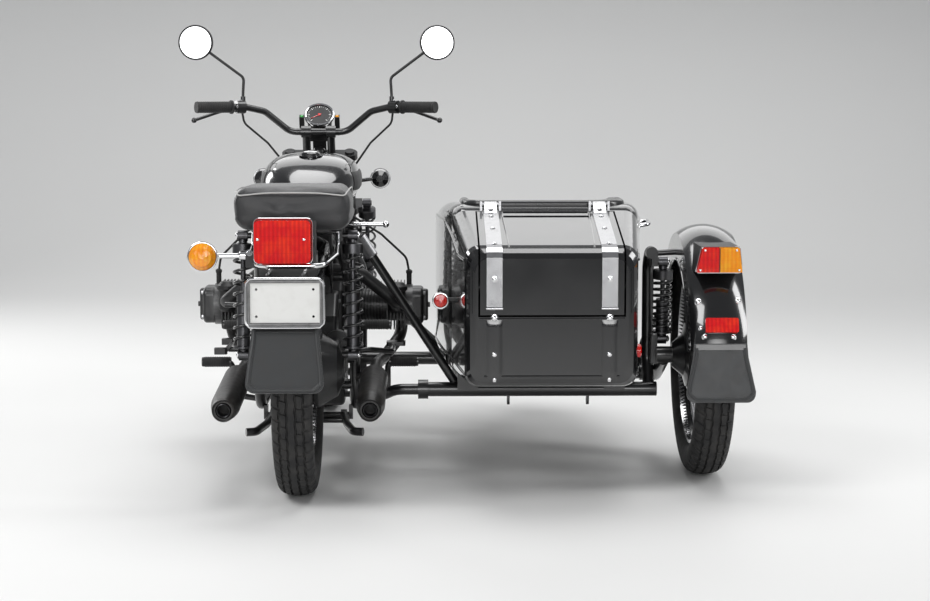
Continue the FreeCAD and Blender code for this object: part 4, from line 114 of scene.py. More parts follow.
class Finish:
    """A surface: a Principled shader whose colour, gloss and relief vary by place on the object."""

    def __init__(self, name, colour, roughness, **settings):
        self.material = bpy.data.materials.new(name)
        self.material.use_nodes = True
        self.tree = self.material.node_tree
        self.shader = self.tree.nodes["Principled BSDF"]
        self.shader.inputs["Base Color"].default_value = (*colour, 1)
        self.shader.inputs["Roughness"].default_value = roughness
        self.colour = colour
        for key, value in settings.items():
            self.shader.inputs[key.replace("_", " ")].default_value = value
        self.place = self.add("ShaderNodeTexCoord", {}, {}).outputs["Object"]

    def add(self, kind, settings, sockets):
        """Adds a node: its settings are set first, then each socket takes a value or a link."""
        node = self.tree.nodes.new(kind)
        for key, value in settings.items():
            setattr(node, key, value)
        for key, value in sockets.items():
            source = value.socket if isinstance(value, Wave) else value
            if isinstance(source, bpy.types.NodeSocket):
                self.tree.links.new(source, node.inputs[key])
            else:
                node.inputs[key].default_value = source
        return node

    def noise(self, size, detail=2.0, stretch=None, roughness=0.5):
        """Soft noise whose patches are about the size given, in metres."""
        place = self.place
        if stretch:
            place = self.add("ShaderNodeMapping", {}, {"Scale": stretch, "Vector": place}).outputs["Vector"]
        sockets = {"Scale": 1.0 / size, "Detail": detail, "Roughness": roughness, "Vector": place}
        return Wave(self, self.add("ShaderNodeTexNoise", {}, sockets).outputs["Fac"])

    def cells(self, size, feature="F1"):
        """Distances in a field of cells of about the size given, in metres."""
        sockets = {"Scale": 1.0 / size, "Vector": self.place}
        node = self.add("ShaderNodeTexVoronoi", {"feature": feature}, sockets)
        return Wave(self, node.outputs["Distance"])

    def axis(self, index):
        """The place along X, Y or Z."""
        return Wave(self, self.add("ShaderNodeSeparateXYZ", {}, {0: self.place}).outputs[index])

    def facing_up(self):
        normal = self.add("ShaderNodeNewGeometry", {}, {}).outputs["Normal"]
        return Wave(self, self.add("ShaderNodeSeparateXYZ", {}, {0: normal}).outputs[2])

    def worn_edges(self):
        return Wave(self, self.add("ShaderNodeNewGeometry", {}, {}).outputs["Pointiness"])

    def tint(self, wave, other):
        """Turns towards the other colour where the wave is one."""
        base = self.shader.inputs["Base Color"]
        under = base.links[0].from_socket if base.is_linked else (*self.colour, 1)
        sockets = {"A": under, "B": (*other, 1), "Factor": wave}
        node = self.add("ShaderNodeMix", {"data_type": "RGBA"}, sockets)
        self.tree.links.new(node.outputs["Result"], base)
        return self

    def gloss(self, wave, low, high):
        """Lets the roughness run from low to high with the wave."""
        self.tree.links.new((wave * (high - low) + low).socket, self.shader.inputs["Roughness"])
        return self

    def relief(self, wave, depth, strength):
        """Raises the surface by the depth given, in metres, where the wave is one."""
        node = self.add("ShaderNodeBump", {}, {"Strength": strength, "Distance": depth, "Height": wave})
        self.tree.links.new(node.outputs["Normal"], self.shader.inputs["Normal"])
        return self


def gloss_paint():
    """Black enamel with a little dust on what faces up."""
    f = Finish("gloss_paint", (0.0045, 0.0045, 0.005), 0.16, Coat_Weight=1.0, Coat_Roughness=0.025)
    f.gloss(f.noise(0.09, 4.0), 0.10, 0.24)
    f.relief(f.noise(0.006, 1.0), 0.00003, 0.35)
    dust = f.facing_up().over(0.5, 1.0) * f.noise(0.03, 6.0).over(0.45, 0.75)
    return f.tint(dust * 0.4, (0.014, 0.0135, 0.013)).material


def satin_paint(name, colour=(0.007, 0.007, 0.0075), rough=0.30):
    f = Finish(name, colour, rough, Coat_Weight=0.6, Coat_Roughness=0.08)
    f.gloss(f.noise(0.05, 5.0), rough - 0.08, rough + 0.12)
    f.relief(f.noise(0.0022, 2.0), 0.00004, 0.6)
    return f.tint(f.noise(0.12, 5.0).over(0.5, 0.8) * 0.6, (0.020, 0.0195, 0.019)).material


def cast_paint():
    """Black heat-proof paint on castings, worn thin on sharp edges."""
    f = Finish("cast_paint", (0.012, 0.012, 0.0125), 0.4, Coat_Weight=0.25, Coat_Roughness=0.2)
    f.gloss(f.noise(0.02, 5.0), 0.30, 0.52)
    f.relief(f.noise(0.0016, 4.0, roughness=0.65), 0.00012, 0.7)
    f.tint(f.noise(0.05, 5.0).over(0.5, 0.85) * 0.7, (0.030, 0.029, 0.028))
    return f.tint(f.worn_edges().over(0.56, 0.62) * 0.5, (0.20, 0.20, 0.20)).material


def heat_paint():
    """Black exhaust finish, browned in patches."""
    f = Finish("exhaust_finish", (0.011, 0.0105, 0.010), 0.45, Coat_Weight=0.2, Coat_Roughness=0.25)
    f.gloss(f.noise(0.02, 5.0), 0.34, 0.56)
    f.relief(f.noise(0.0018, 3.0), 0.00006, 0.7)
    return f.tint(f.noise(0.05, 6.0).over(0.45, 0.8) * 0.7, (0.030, 0.024, 0.020)).material


def plastic(name, colour=(0.011, 0.011, 0.0115), rough=0.42):
    f = Finish(name, colour, rough, Specular_IOR_Level=0.45)
    f.gloss(f.noise(0.03, 5.0), rough - 0.07, rough + 0.1)
    f.relief(f.cells(0.0009), 0.00005, 0.5)
    return f.tint(f.noise(0.02, 4.0).over(0.4, 0.8) * 0.5, (0.022, 0.022, 0.022)).material


def rubber(name, colour=(0.013, 0.013, 0.0135), rough=0.62):
    f = Finish(name, colour, rough, Specular_IOR_Level=0.35, Sheen_Weight=0.12, Sheen_Roughness=0.6)
    f.gloss(f.noise(0.025, 5.0), rough - 0.1, rough + 0.12)
    f.relief(f.noise(0.0012, 4.0, roughness=0.7), 0.00008, 0.6)
    return f.tint(f.noise(0.03, 6.0).over(0.4, 0.8) * 0.7, (0.032, 0.031, 0.030)).material


def tyre_rubber():
    """Tread rubber with dust and small worn spots."""
    f = Finish("tyre_rubber", (0.016, 0.016, 0.0165), 0.66, Specular_IOR_Level=0.32)
    f.gloss(f.noise(0.02, 6.0), 0.56, 0.8)
    f.relief(f.noise(0.0011, 5.0, roughness=0.7), 0.0001, 0.7)
    f.tint(f.noise(0.035, 7.0).over(0.4, 0.75) * 0.8, (0.042, 0.040, 0.038))
    return f.tint(f.noise(0.004, 3.0).over(0.62, 0.72) * 0.35, (0.075, 0.070, 0.064)).material


def vinyl():
    """Grained black seat vinyl."""
    f = Finish("seat_vinyl", (0.013, 0.0135, 0.015), 0.40, Sheen_Weight=0.2, Sheen_Roughness=0.4,
               Specular_IOR_Level=0.55)
    grain = f.cells(0.0026, "DISTANCE_TO_EDGE").over(0.0, 0.12)
    f.gloss(f.noise(0.04, 5.0) * 0.6 + grain * 0.4, 0.30, 0.48)
    f.relief(grain * 0.7 + f.noise(0.0012, 3.0) * 0.3, 0.00022, 0.8)
    return f.tint(f.noise(0.06, 6.0).over(0.45, 0.8) * 0.6, (0.026, 0.0255, 0.025)).material


def roll_cover():
    """Smooth vinyl over the padded roll round the cockpit."""
    f = Finish("roll_cover", (0.016, 0.016, 0.017), 0.28, Coat_Weight=0.5, Coat_Roughness=0.1)
    f.gloss(f.noise(0.03, 4.0), 0.22, 0.36)
    f.relief(f.cells(0.002), 0.00008, 0.5)
    return f.tint(f.noise(0.04, 5.0).over(0.45, 0.8) * 0.5, (0.028, 0.028, 0.028)).material


def metal(name, colour, rough, grain=0.0008, stretch=None, stain=(0.12, 0.11, 0.10)):
    f = Finish(name, colour, rough, Metallic=1.0)
    brushed = f.noise(grain, 2.0, stretch)
    f.gloss(brushed * 0.5 + f.noise(0.02, 5.0) * 0.5, rough - 0.06, rough + 0.12)
    f.relief(brushed, 0.00002, 0.5)
    return f.tint(f.noise(0.03, 7.0).over(0.56, 0.85) * 0.35, stain).material


def chrome():
    """Bright plating with faint wipe marks."""
    f = Finish("chrome_finish", (0.80, 0.80, 0.81), 0.06, Metallic=1.0)
    f.gloss(f.noise(0.015, 5.0), 0.03, 0.12)
    f.relief(f.noise(0.01, 2.0), 0.00002, 0.4)
    return f.tint(f.noise(0.02, 6.0).over(0.6, 0.85) * 0.25, (0.45, 0.44, 0.42)).material


def lens(name, colour, deep, light):
    """Moulded lens: upright flutes inside a smooth, coloured face, lighter in patches."""
    f = Finish(name, colour, 0.10, Transmission_Weight=0.15, IOR=1.49, Coat_Weight=0.6, Coat_Roughness=0.03,
               Subsurface_Weight=0.35, Subsurface_Radius=(0.012, 0.003, 0.002), Subsurface_Scale=1.0)
    flutes = f.axis(0).apply("PINGPONG", 0.0055) * 182.0
    bars = f.axis(2).apply("PINGPONG", 0.011) * 91.0
    f.gloss(f.noise(0.02, 3.0), 0.05, 0.14)
    f.relief(flutes * 0.7 + bars * 0.3, 0.0012, 0.55)
    f.tint(f.noise(0.035, 2.0).over(0.42, 0.66) * 0.7, light)
    f.tint(flutes.over(0.1, 0.8) * 0.42, deep)
    return f.tint(bars.over(0.9, 1.0) * 0.3, deep).material


def mirror_face():
    f = Finish("mirror_face", (0.86, 0.87, 0.88), 0.03, Metallic=1.0)
    f.gloss(f.noise(0.03, 4.0), 0.015, 0.06)
    return f.relief(f.noise(0.08, 1.0), 0.00002, 0.2).material


def plate_enamel():
    f = Finish("plate_enamel", (0.70, 0.70, 0.68), 0.36, Coat_Weight=0.3, Coat_Roughness=0.15)
    f.gloss(f.noise(0.02, 4.0), 0.28, 0.46)
    f.relief(f.noise(0.004, 2.0), 0.00005, 0.4)
    return f.tint(f.noise(0.03, 6.0).over(0.5, 0.9) * 0.4, (0.52, 0.51, 0.48)).material


# A cord finish whose pale grey is a painted highlight along the seat's top edge
def piping_painted_highlight():
    f = Finish("piping_painted_highlight", (0.42, 0.42, 0.41), 0.45)
    f.gloss(f.noise(0.01, 3.0), 0.38, 0.6)
    f.relief(f.noise(0.0015, 2.0), 0.0001, 0.5)
    return f.tint(f.noise(0.02, 5.0).over(0.5, 0.8) * 0.5, (0.28, 0.28, 0.27)).material


def glass():
    f = Finish("lamp_glass", (0.92, 0.94, 0.95), 0.04, Transmission_Weight=0.85, IOR=1.5, Coat_Weight=0.5)
    flutes = f.axis(0).apply("PINGPONG", 0.006) * 160.0
    f.gloss(f.noise(0.02, 3.0), 0.02, 0.08)
    return f.relief(flutes, 0.0006, 0.6).material


GLOSS = gloss_paint()
FRAME_PAINT = satin_paint("frame_paint")
CAST = cast_paint()
HEAT = heat_paint()
PLASTIC = plastic("black_moulding")
RUBBER = rubber("soft_rubber")
FLAP = rubber("flap_rubber", (0.030, 0.032, 0.0335), 0.40)
GRIP = rubber("grip_rubber", (0.010, 0.010, 0.0105), 0.7)
TYRE = tyre_rubber()
VINYL = vinyl()
ROLL = roll_cover()
# Painted highlight: the pale cord finish that stands in for the light along the seat's top edge
PIPING_PAINTED_HIGHLIGHT = piping_painted_highlight()
STEEL = metal("satin_steel", (0.46, 0.46, 0.47), 0.3)
DARK_STEEL = metal("dark_steel", (0.10, 0.10, 0.105), 0.34)
SPRING = satin_paint("spring_paint", (0.012, 0.012, 0.0125), 0.26)
RIM = satin_paint("rim_paint", (0.011, 0.011, 0.0115), 0.22)
DISC = metal("disc_face", (0.48, 0.48, 0.49), 0.26, 0.0006, (1, 6, 6))
CHROME = chrome()
RED = lens("red_glass", (0.80, 0.006, 0.008), (0.40, 0.001, 0.004), (1.0, 0.050, 0.008))
AMBER = lens("amber_glass", (1.0, 0.36, 0.008), (0.80, 0.20, 0.002), (1.0, 0.52, 0.030))
PLATE = plate_enamel()
STRAP = metal("strap_steel", (0.52, 0.52, 0.53), 0.2)
SPOKE = metal("spoke_steel", (0.42, 0.42, 0.43), 0.26)
LIP = metal("rim_edge", (0.66, 0.66, 0.67), 0.12)
HUB = satin_paint("hub_paint", (0.013, 0.013, 0.0135), 0.34)
TRAY = plastic("grey_moulding", (0.22, 0.22, 0.22), 0.4)
DIAL = plastic("dial_face", (0.008, 0.008, 0.009), 0.5)
MARKS = plastic("dial_marks", (0.75, 0.75, 0.74), 0.5)
GREEN = lens("green_glass", (0.02, 0.42, 0.06), (0.01, 0.20, 0.03), (0.05, 0.60, 0.10))
MIRROR = mirror_face()
GLASS = glass()

FINISHES = {
    "frame": FRAME_PAINT, "engine_case": CAST, "gearbox": CAST, "cylinders": CAST, "rocker_covers": CAST,
    "intake": PLASTIC, "spark_leads": GRIP, "control_cables": GRIP, "exhaust_pipes": HEAT, "mufflers": HEAT,
    "swing_arm": FRAME_PAINT, "final_drive": CAST, "dampers": DARK_STEEL, "springs": SPRING,
    "rear_fender": GLOSS, "sidecar_fender": GLOSS, "front_fender": GLOSS, "mud_flaps": FLAP,
    "fuel_tank": GLOSS, "bench_seat": VINYL, "sidecar_body": GLOSS, "boot_lid": GLOSS, "lid_straps": STRAP,
    "lid_hinges": STEEL, "cockpit_roll": ROLL, "sidecar_cushion": VINYL, "sidecar_backrest": VINYL,
    "sidecar_frame": FRAME_PAINT, "sidecar_struts": FRAME_PAINT, "trailing_arm": FRAME_PAINT,
    "bright_tubes": CHROME, "number_plate": PLATE, "front_turn_lenses": AMBER, "plate_holder": TRAY,
    "lamp_housings": PLASTIC, "red_lenses": RED, "amber_lenses": AMBER, "handlebar": FRAME_PAINT,
    "grips": GRIP, "hand_controls": FRAME_PAINT, "mirrors": PLASTIC, "mirror_glass": MIRROR,
    "front_lamps": GLOSS, "headlamp_lens": GLASS, "gauge": PLASTIC, "foot_gear": FRAME_PAINT,
    "centre_stand": FRAME_PAINT, "battery_box": PLASTIC, "fork": FRAME_PAINT, "fork_links": FRAME_PAINT,
    "front_dampers": DARK_STEEL, "front_springs": SPRING, "front_caliper": CAST, "front_disc": DISC,
    "front_tyre": TYRE, "rear_tyre": TYRE, "sidecar_tyre": TYRE, "front_wheel": RIM, "rear_wheel": RIM,
    "sidecar_wheel": RIM,
}
for node_name, node in NODES.items():
    node.data.materials.clear()
    node.data.materials.append(FINISHES.get(node_name, FRAME_PAINT))


# Mesh helpers

def frame_of(along):
    """Two directions square to the one given."""
    side = along.cross(UP) if abs(along.z) < 0.9 else along.cross(RIGHT)
    side.normalize()
    return side, side.cross(along).normalized()


# A corner on the axis of a turned piece stands this far from it, so that its ring stays open
HAIR = 1e-5


class Build:
    """Shapes a bmesh, in metres, that becomes one piece."""

    def __init__(self):
        self.work = bmesh.new()

    def add(self, corners, faces):
        """Adds faces, each given by the numbers of its corners."""
        placed = [self.work.verts.new(c) for c in corners]
        for face in faces:
            self.work.faces.new([placed[i] for i in face])
        return self

    def skin(self, rings, closed=True, caps=True, looped=False):
        """Joins rings of corners of equal count into a surface."""
        count = len(rings[0])
        corners = [c for ring in rings for c in ring]
        faces = []
        last = len(rings) if looped else len(rings) - 1
        for j in range(last):
            a, b = j * count, ((j + 1) % len(rings)) * count
            for i in range(count if closed else count - 1):
                k = (i + 1) % count
                faces.append((a + i, a + k, b + k, b + i))
        if caps and closed and not looped:
            faces.append(tuple(range(count - 1, -1, -1)))
            start = (len(rings) - 1) * count
            faces.append(tuple(range(start, start + count)))
        return self.add(corners, faces)

    def lathe(self, outline, start, axis, sides=28, closed=False):
        """Spins an outline of (along, radius) pairs about an axis through a start point. An open outline
        is closed by flat ends."""
        axis = Vector(axis).normalized()
        out = frame_of(axis)[0]
        corners = [self.work.verts.new(start + axis * along + out * max(radius, HAIR))
                   for along, radius in outline]
        edges = [self.work.edges.new(pair) for pair in zip(corners, corners[1:])]
        if closed:
            edges.append(self.work.edges.new((corners[-1], corners[0])))
        bmesh.ops.spin(self.work, geom=corners + edges, cent=start, axis=axis, angle=2 * math.pi, steps=sides,
                       use_merge=True)
        bmesh.ops.holes_fill(self.work, edges=[edge for edge in self.work.edges if edge.is_boundary])
        return self

    def sweep(self, points, radius, sides=10, looped=False):
        """A round cord through the points given."""
        count = len(points)
        normal = None
        rings = []
        for i, point in enumerate(points):
            before = points[i - 1] if i or looped else point
            after = points[(i + 1) % count] if i < count - 1 or looped else point
            along = (after - before).normalized()
            if normal is None:
                normal = frame_of(along)[0]
            normal = (normal - along * normal.dot(along)).normalized()
            other = along.cross(normal)
            rings.append([point + (normal * math.cos(a) + other * math.sin(a)) * radius
                          for a in (2 * math.pi * k / sides for k in range(sides))])
        return self.skin(rings, looped=looped)

    def dome(self, place, axis, radius):
        """A dome-headed bolt on a thin washer."""
        height = radius * 0.75
        shares = [(0, 1.25), (0.15, 1.25), (0.18, 1), (0.5, 0.93), (0.8, 0.65), (0.95, 0.3), (1, 0)]
        return self.lathe([(height * up, radius * out) for up, out in shares], place, axis, 20)

    def hexagon(self, place, axis, radius, height):
        """A bolt head with six sides."""
        outline = [(0, radius), (height * 0.8, radius), (height, radius * 0.86), (height, 0)]
        return self.lathe(outline, place, axis, 6)

    def slab(self, corners, normal, thick):
        """A flat plate: corners round its outline, thickened along its normal."""
        return self.skin([corners, [c + normal * thick for c in corners]])

    def make(self, name, finish, body, sharp=35, bevel=None, slot=None):
        """Turns every face outwards and makes a piece that rides on a body."""
        bmesh.ops.recalc_face_normals(self.work, faces=self.work.faces)
        mesh = bpy.data.meshes.new(name)
        self.work.to_mesh(mesh)
        self.work.free()
        obj = bpy.data.objects.new(name, mesh)
        bpy.context.scene.collection.objects.link(obj)
        mesh.materials.append(finish)
        mesh.polygons.foreach_set("use_smooth", [True] * len(mesh.polygons))
        mesh.set_sharp_from_angle(angle=math.radians(sharp))
        if bevel:
            item = obj.modifiers.new("soft_edges", "BEVEL")
            item.width = bevel
            item.segments = 3
            item.limit_method = "ANGLE"
            item.angle_limit = math.radians(40)
            item.harden_normals = True
        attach(obj, body)
        return obj


def smooth_path(points, steps):
    """Points along a smooth curve that passes through the ones given."""
    last = len(points) - 1
    found = []
    for i in range(last):
        p0, p1, p2, p3 = (points[min(max(i + k, 0), last)] for k in (-1, 0, 1, 2))
        for t in (s / steps for s in range(steps)):
            found.append(0.5 * ((2 * p1) + (p2 - p0) * t + (2 * p0 - 5 * p1 + 4 * p2 - p3) * t * t
                                + (3 * p1 - p0 - 3 * p2 + p3) * t ** 3))
    found.append(points[-1].copy())
    return found


# Tyres with a block tread

def tyre(name, middle, body):
    """Block tread: a centre rib, two inner rows of blocks and two shoulder rows, between zigzag grooves."""
    pitches = 60
    rows = (0.0, 0.06, 0.12, 0.26, 0.32, 0.44, 0.50, 0.56, 0.62, 0.76, 0.82, 0.94)
    depth = 0.0058
    wall = [(36, 257), (40, 262), (46, 268), (47.5, 272), (50, 276), (53, 286), (54.5, 298), (54, 308),
            (53, 314)]
    tread = [(51.8, 318.5, 1), (50.4, 323, 1), (47.6, 328, 1), (43.8, 332.5, 1), (38.6, 336.6, 1),
             (34.6, 338.9, 1), (33.0, 339.5, 2), (29.6, 340.8, 2), (28.0, 341.3, 3), (22, 342.9, 3),
             (14.6, 344.2, 3), (13.0, 344.5, 4), (9.8, 344.8, 4), (8.2, 344.9, 5), (0, 345, 5)]
    columns = [(x, r, 0) for x, r in wall] + tread
    columns = columns + [(-x, r, -k) for x, r, k in reversed(columns[:-1])]
    zigzag = {2: 1.5, 3: 1.5, 4: -1.3, 5: -1.3}
    rings = []
    for i in range(pitches):
        for share in rows:
            turn = (i + share) / pitches * 2 * math.pi
            wave = 2 * abs(2 * ((share + 0.25) % 1) - 1) - 1
            ring = []
            for x, r, kind in columns:
                side = 1 if kind > 0 else -1
                slot = (0.12 <= share <= 0.26) if side > 0 else (0.62 <= share <= 0.76)
                thin = (0.44 < share < 0.56) if side > 0 else (share < 0.03)
                row = abs(kind)
                sunk = depth if row in (2, 4) else 0.0
                if row == 1 and slot:
                    sunk = depth * 0.9
                if row == 3 and thin:
                    sunk = depth * 0.6
                wide = x
                if row in zigzag and x and not (row == 3 and 20 < abs(x) < 24):
                    amount = zigzag[row] if not (row == 3 and abs(x) < 20) else -1.3
                    wide = x + amount * wave
                if row == 1 and abs(x) < 36:
                    wide = x + 1.5 * wave
                shift = 0.0
                if row in (1, 2, 3):
                    shift = (abs(x) - 14) / 36 * 0.25 / pitches * 2 * math.pi * side
                radius = r / 1000 - sunk
                a = turn + shift
                ring.append(middle + Vector((wide / 1000, math.cos(a) * radius, math.sin(a) * radius)))
            rings.append(ring)
    made = Build()
    made.skin(rings, closed=False, caps=False, looped=True)
    obj = made.make(f"{name}_tyre_tread", TYRE, body, sharp=28, slot="tyre")
    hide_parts(f"{name}_tyre")
    return obj


for wheel_name, (wheel_middle, wheel_body) in WHEELS.items():
    tyre(wheel_name, wheel_middle + STEP, wheel_body)


# Soft pieces

VOXEL = 0.006
PRESSURE = 4.0
FRAMES = 20


def swollen(obj, cap, firm=None):
    """Remeshes a closed form and lets it swell like stuffed fabric, each point by no more than the cap.
    Points where firm() gives nought stay in place."""
    bpy.context.view_layer.objects.active = obj
    obj.select_set(True)
    obj.data.remesh_voxel_size = VOXEL
    bpy.ops.object.voxel_remesh()
    mesh = obj.data
    rest = np.zeros(len(mesh.vertices) * 3)
    mesh.vertices.foreach_get("co", rest)
    rest = rest.reshape(-1, 3)
    cloth = obj.modifiers.new("stuffing", "CLOTH")
    cloth.settings.use_pressure = True
    cloth.settings.uniform_pressure_force = PRESSURE
    cloth.settings.effector_weights.gravity = 0
    cloth.settings.quality = 5
    cloth.settings.mass = 0.3
    cloth.point_cache.frame_start, cloth.point_cache.frame_end = 1, FRAMES
    for number in range(1, FRAMES + 1):
        bpy.context.scene.frame_set(number)
    shaped = obj.evaluated_get(bpy.context.evaluated_depsgraph_get())
    moved = np.zeros(len(shaped.data.vertices) * 3)
    shaped.data.vertices.foreach_get("co", moved)
    moved = moved.reshape(-1, 3)
    obj.modifiers.remove(cloth)
    bpy.context.scene.frame_set(1)
    change = moved - rest
    length = np.linalg.norm(change, axis=1)
    scale = np.minimum(1.0, cap / np.maximum(length, 1e-9))
    if firm is not None:
        scale = scale * np.array([firm(Vector(p)) for p in rest])
    final = rest + change * scale[:, None]
    mesh.vertices.foreach_set("co", final.astype(np.float32).ravel())
    mesh.update()
    mesh.polygons.foreach_set("use_smooth", [True] * len(mesh.polygons))
    smooth = obj.modifiers.new("even", "SMOOTH")
    smooth.iterations = 4
    smooth.factor = 0.5
    obj.select_set(False)
    return obj


def rounded_rect(half_x, half_z, corner, count=6):
    """Corners round a rectangle with rounded corners, about the origin."""
    found = []
    for cx, cz, begin in ((1, 1, 0), (-1, 1, 90), (-1, -1, 180), (1, -1, 270)):
        for i in range(count + 1):
            a = math.radians(begin + 90 * i / count)
            found.append((cx * (half_x - corner) + corner * math.cos(a),
                          cz * (half_z - corner) + corner * math.sin(a)))
    return found


def bench():
    """The long seat: crowned top in two steps and a skirt that tucks in round the rails."""
    stations = [
        (-232, 128, 776, 826, 22), (-226, 146, 756, 840, 30), (-212, 154, 745, 848, 34),
        (-170, 157, 741, 851, 34), (-60, 158, 740, 851, 34), (60, 157, 740, 846, 34),
        (130, 155, 740, 834, 34), (180, 152, 740, 819, 34), (240, 147, 740, 813, 32),
        (320, 136, 740, 812, 30), (390, 120, 742, 811, 28), (422, 104, 750, 803, 22), (429, 88, 760, 790, 12),
    ]
    rings = []
    for y, half, low, top, corner in stations:
        middle = (low + top) / 2
        ring = []
        for x, z in rounded_rect(half, (top - low) / 2, corner):
            crown = 5.0 * (1 - (x / half) ** 2) if z > 0 else 0.0
            tuck = 1.0 - 0.05 * max(0.0, -z / ((top - low) / 2))
            ring.append(at(x * tuck, y, middle + z + crown))
        rings.append(ring)
    made = Build().skin(rings)
    obj = made.make("bench_cover", VINYL, "chassis", sharp=60, slot="black_vinyl")
    channel = Build()
    low, high = at(-136, -150, 700), at(136, 600, 753.4)
    box = [Vector((x, y, z)) for z in (low.z, high.z) for x, y in
           ((low.x, low.y), (high.x, low.y), (high.x, high.y), (low.x, high.y))]
    channel.skin([box[:4], box[4:]])
    cutter = channel.make("bench_channel", VINYL, "chassis")
    boolean = obj.modifiers.new("channel", "BOOLEAN")
    boolean.operation = "DIFFERENCE"
    boolean.object = cutter
    boolean.solver = "EXACT"
    shaped = obj.evaluated_get(bpy.context.evaluated_depsgraph_get())
    mesh = bpy.data.meshes.new_from_object(shaped)
    obj.modifiers.remove(boolean)
    obj.data = mesh
    bpy.data.objects.remove(cutter)
    swollen(obj, 0.006, firm=lambda p: 1.0 if p.z > 0.775 else 0.0)
    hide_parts("bench_seat")
    # A cord along the seat's top edge, finished pale grey: its pale colour is a painted highlight of that
    # edge
    edge = []
    for y, half, _, top, corner in stations[1:-2]:
        edge.append((half * 0.93 + 1.0, y, top - corner * 0.12))
    right = [at(x, y, z) for x, y, z in edge]
    left = [at(-x, y, z) for x, y, z in edge]
    back = [at(-112, -226, 838), at(-70, -229, 842), at(0, -230, 843), at(70, -229, 842), at(112, -226, 838)]
    loop = smooth_path(list(reversed(right)) + list(reversed(back)) + left, 6)
    highlight_cord = Build().sweep(loop, 0.0020, 8)
    highlight_cord.make("bench_piping_painted_highlight", PIPING_PAINTED_HIGHLIGHT, "chassis")
    return obj


bench()


def cushion(name, node, low, high, corner, channels, upright):
    """A stuffed pad with sewn channels across it, in the space of its solid."""
    low, high = at(*low), at(*high)
    count = 15
    size = high - low
    rings = []
    for j in range(count):
        v = j / (count - 1)
        bulge = math.sin(math.pi * v) ** 0.35
        ring = []
        for x, z in rounded_rect(0.5, 0.5, corner, 6):
            across = 0.5 + x * (0.94 + 0.06 * bulge)
            through = 0.5 + z * (0.86 + 0.14 * bulge)
            deep, high_up = (through, v) if upright else (v, through)
            ring.append(Vector((low.x + size.x * across, low.y + size.y * deep, low.z + size.z * high_up)))
        rings.append(ring)
    made = Build().skin(rings)
    obj = made.make(name, VINYL, "chassis", sharp=70, slot="black_vinyl")
    swollen(obj, 0.010)
    mesh = obj.data
    for vertex in mesh.vertices:
        p = vertex.co
        share = (p.x - low.x) / size.x
        groove = min(abs(share - k / channels) for k in range(1, channels)) * size.x
        facing = (p.y - low.y) / size.y if upright else (p.z - low.z) / size.z
        if facing > 0.6:
            sunk = 0.006 * math.exp(-(groove / 0.006) ** 2)
            if upright:
                p.y -= sunk
            else:
                p.z -= sunk
        p.x = min(max(p.x, low.x), high.x)
        p.y = min(max(p.y, low.y), high.y)
        p.z = min(max(p.z, low.z), high.z)
    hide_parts(node)
    return obj


cushion("side_seat_pad", "sidecar_cushion", (486, 252, 304.5), (884, 690, 452), 0.16, 6, False)
cushion("side_back_pad", "sidecar_backrest", (486, 186.5, 458), (884, 258, 756), 0.2, 6, True)


# Small pieces laid on the carried-over ones

SKINS = {}


def skin_of(node):
    """A search tree of a node's surface, in the row frame."""
    if node not in SKINS:
        obj = NODES[node]
        corners = [obj.matrix_world @ v.co for v in obj.data.vertices]
        faces = [tuple(p.vertices) for p in obj.data.polygons]
        SKINS[node] = BVHTree.FromPolygons(corners, faces)
    return SKINS[node]


def touch(node, start, way):
    """Where a ray from a place in millimetres meets a node, and the surface's outward direction there."""
    way = Vector(way).normalized()
    place, normal, _, _ = skin_of(node).ray_cast(at(*start), way)
    if place is None:
        return None, None
    if normal.dot(way) > 0:
        normal = -normal
    return place, normal


def patch(name, node, grid, way, lift, finish):
    """A thin piece that follows a node's surface: a grid of ray starts, and its height in millimetres."""
    sink, edge_share = 1.0, 0.45
    rows, columns = len(grid), len(grid[0])
    outer, inner = [], []
    for j, row in enumerate(grid):
        for i, start in enumerate(row):
            place, normal = touch(node, start, way)
            if place is None:
                return None
            edge = i in (0, columns - 1) or j in (0, rows - 1)
            outer.append(place + normal * (lift * (edge_share if edge else 1.0) / 1000))
            inner.append(place - normal * (sink / 1000))
    count = rows * columns
    faces = []
    for j in range(rows - 1):
        for i in range(columns - 1):
            a = j * columns + i
            faces.append((a, a + 1, a + columns + 1, a + columns))
            faces.append((count + a, count + a + columns, count + a + columns + 1, count + a + 1))
    ring = ([i for i in range(columns)] + [j * columns + columns - 1 for j in range(1, rows)]
            + [(rows - 1) * columns + i for i in range(columns - 2, -1, -1)]
            + [j * columns for j in range(rows - 2, 0, -1)])
    for k, a in enumerate(ring):
        b = ring[(k + 1) % len(ring)]
        faces.append((a, count + a, count + b, b))
    return Build().add(outer + inner, faces).make(name, finish, "chassis", sharp=60)


def spread(low, high, count):
    """Numbers at equal steps from low to high."""
    return [low + (high - low) * i / (count - 1) for i in range(count)]


def band(name, node, ends, half, count, way, lift, finish):
    """A strip along a line of ray starts, with its half width across in millimetres."""
    start, end = (Vector(p) for p in ends)
    shares = (-1.0, -0.82, -0.4, 0.0, 0.4, 0.82, 1.0)
    grid = [[tuple(start.lerp(end, t) + RIGHT * half * s) for s in shares] for t in spread(0, 1, count)]
    return patch(name, node, grid, way, lift, finish)


def bead(name, node, starts, way, radius, finish, body="chassis"):
    """A round bead laid along a node's surface, most of it sunk in."""
    proud = 0.2
    points = []
    for start in starts:
        place, normal = touch(node, start, way)
        if place is not None:
            points.append(place + normal * (proud * radius / 1000))
    return Build().sweep(points, radius / 1000, 8).make(name, finish, body)


def from_behind(radius, *spots):
    """Bolt heads for studs() that are seen from behind: (across, up) pairs in millimetres."""
    return [((x, BEHIND, z), FORWARD, radius) for x, z in spots]


def along_edges(outline, shares):
    """Points on the straight edges of a closed outline, at the shares given of each edge."""
    return [(ax + (bx - ax) * t, az + (bz - az) * t)
            for (ax, az), (bx, bz) in zip(outline, outline[1:] + outline[:1]) for t in shares]


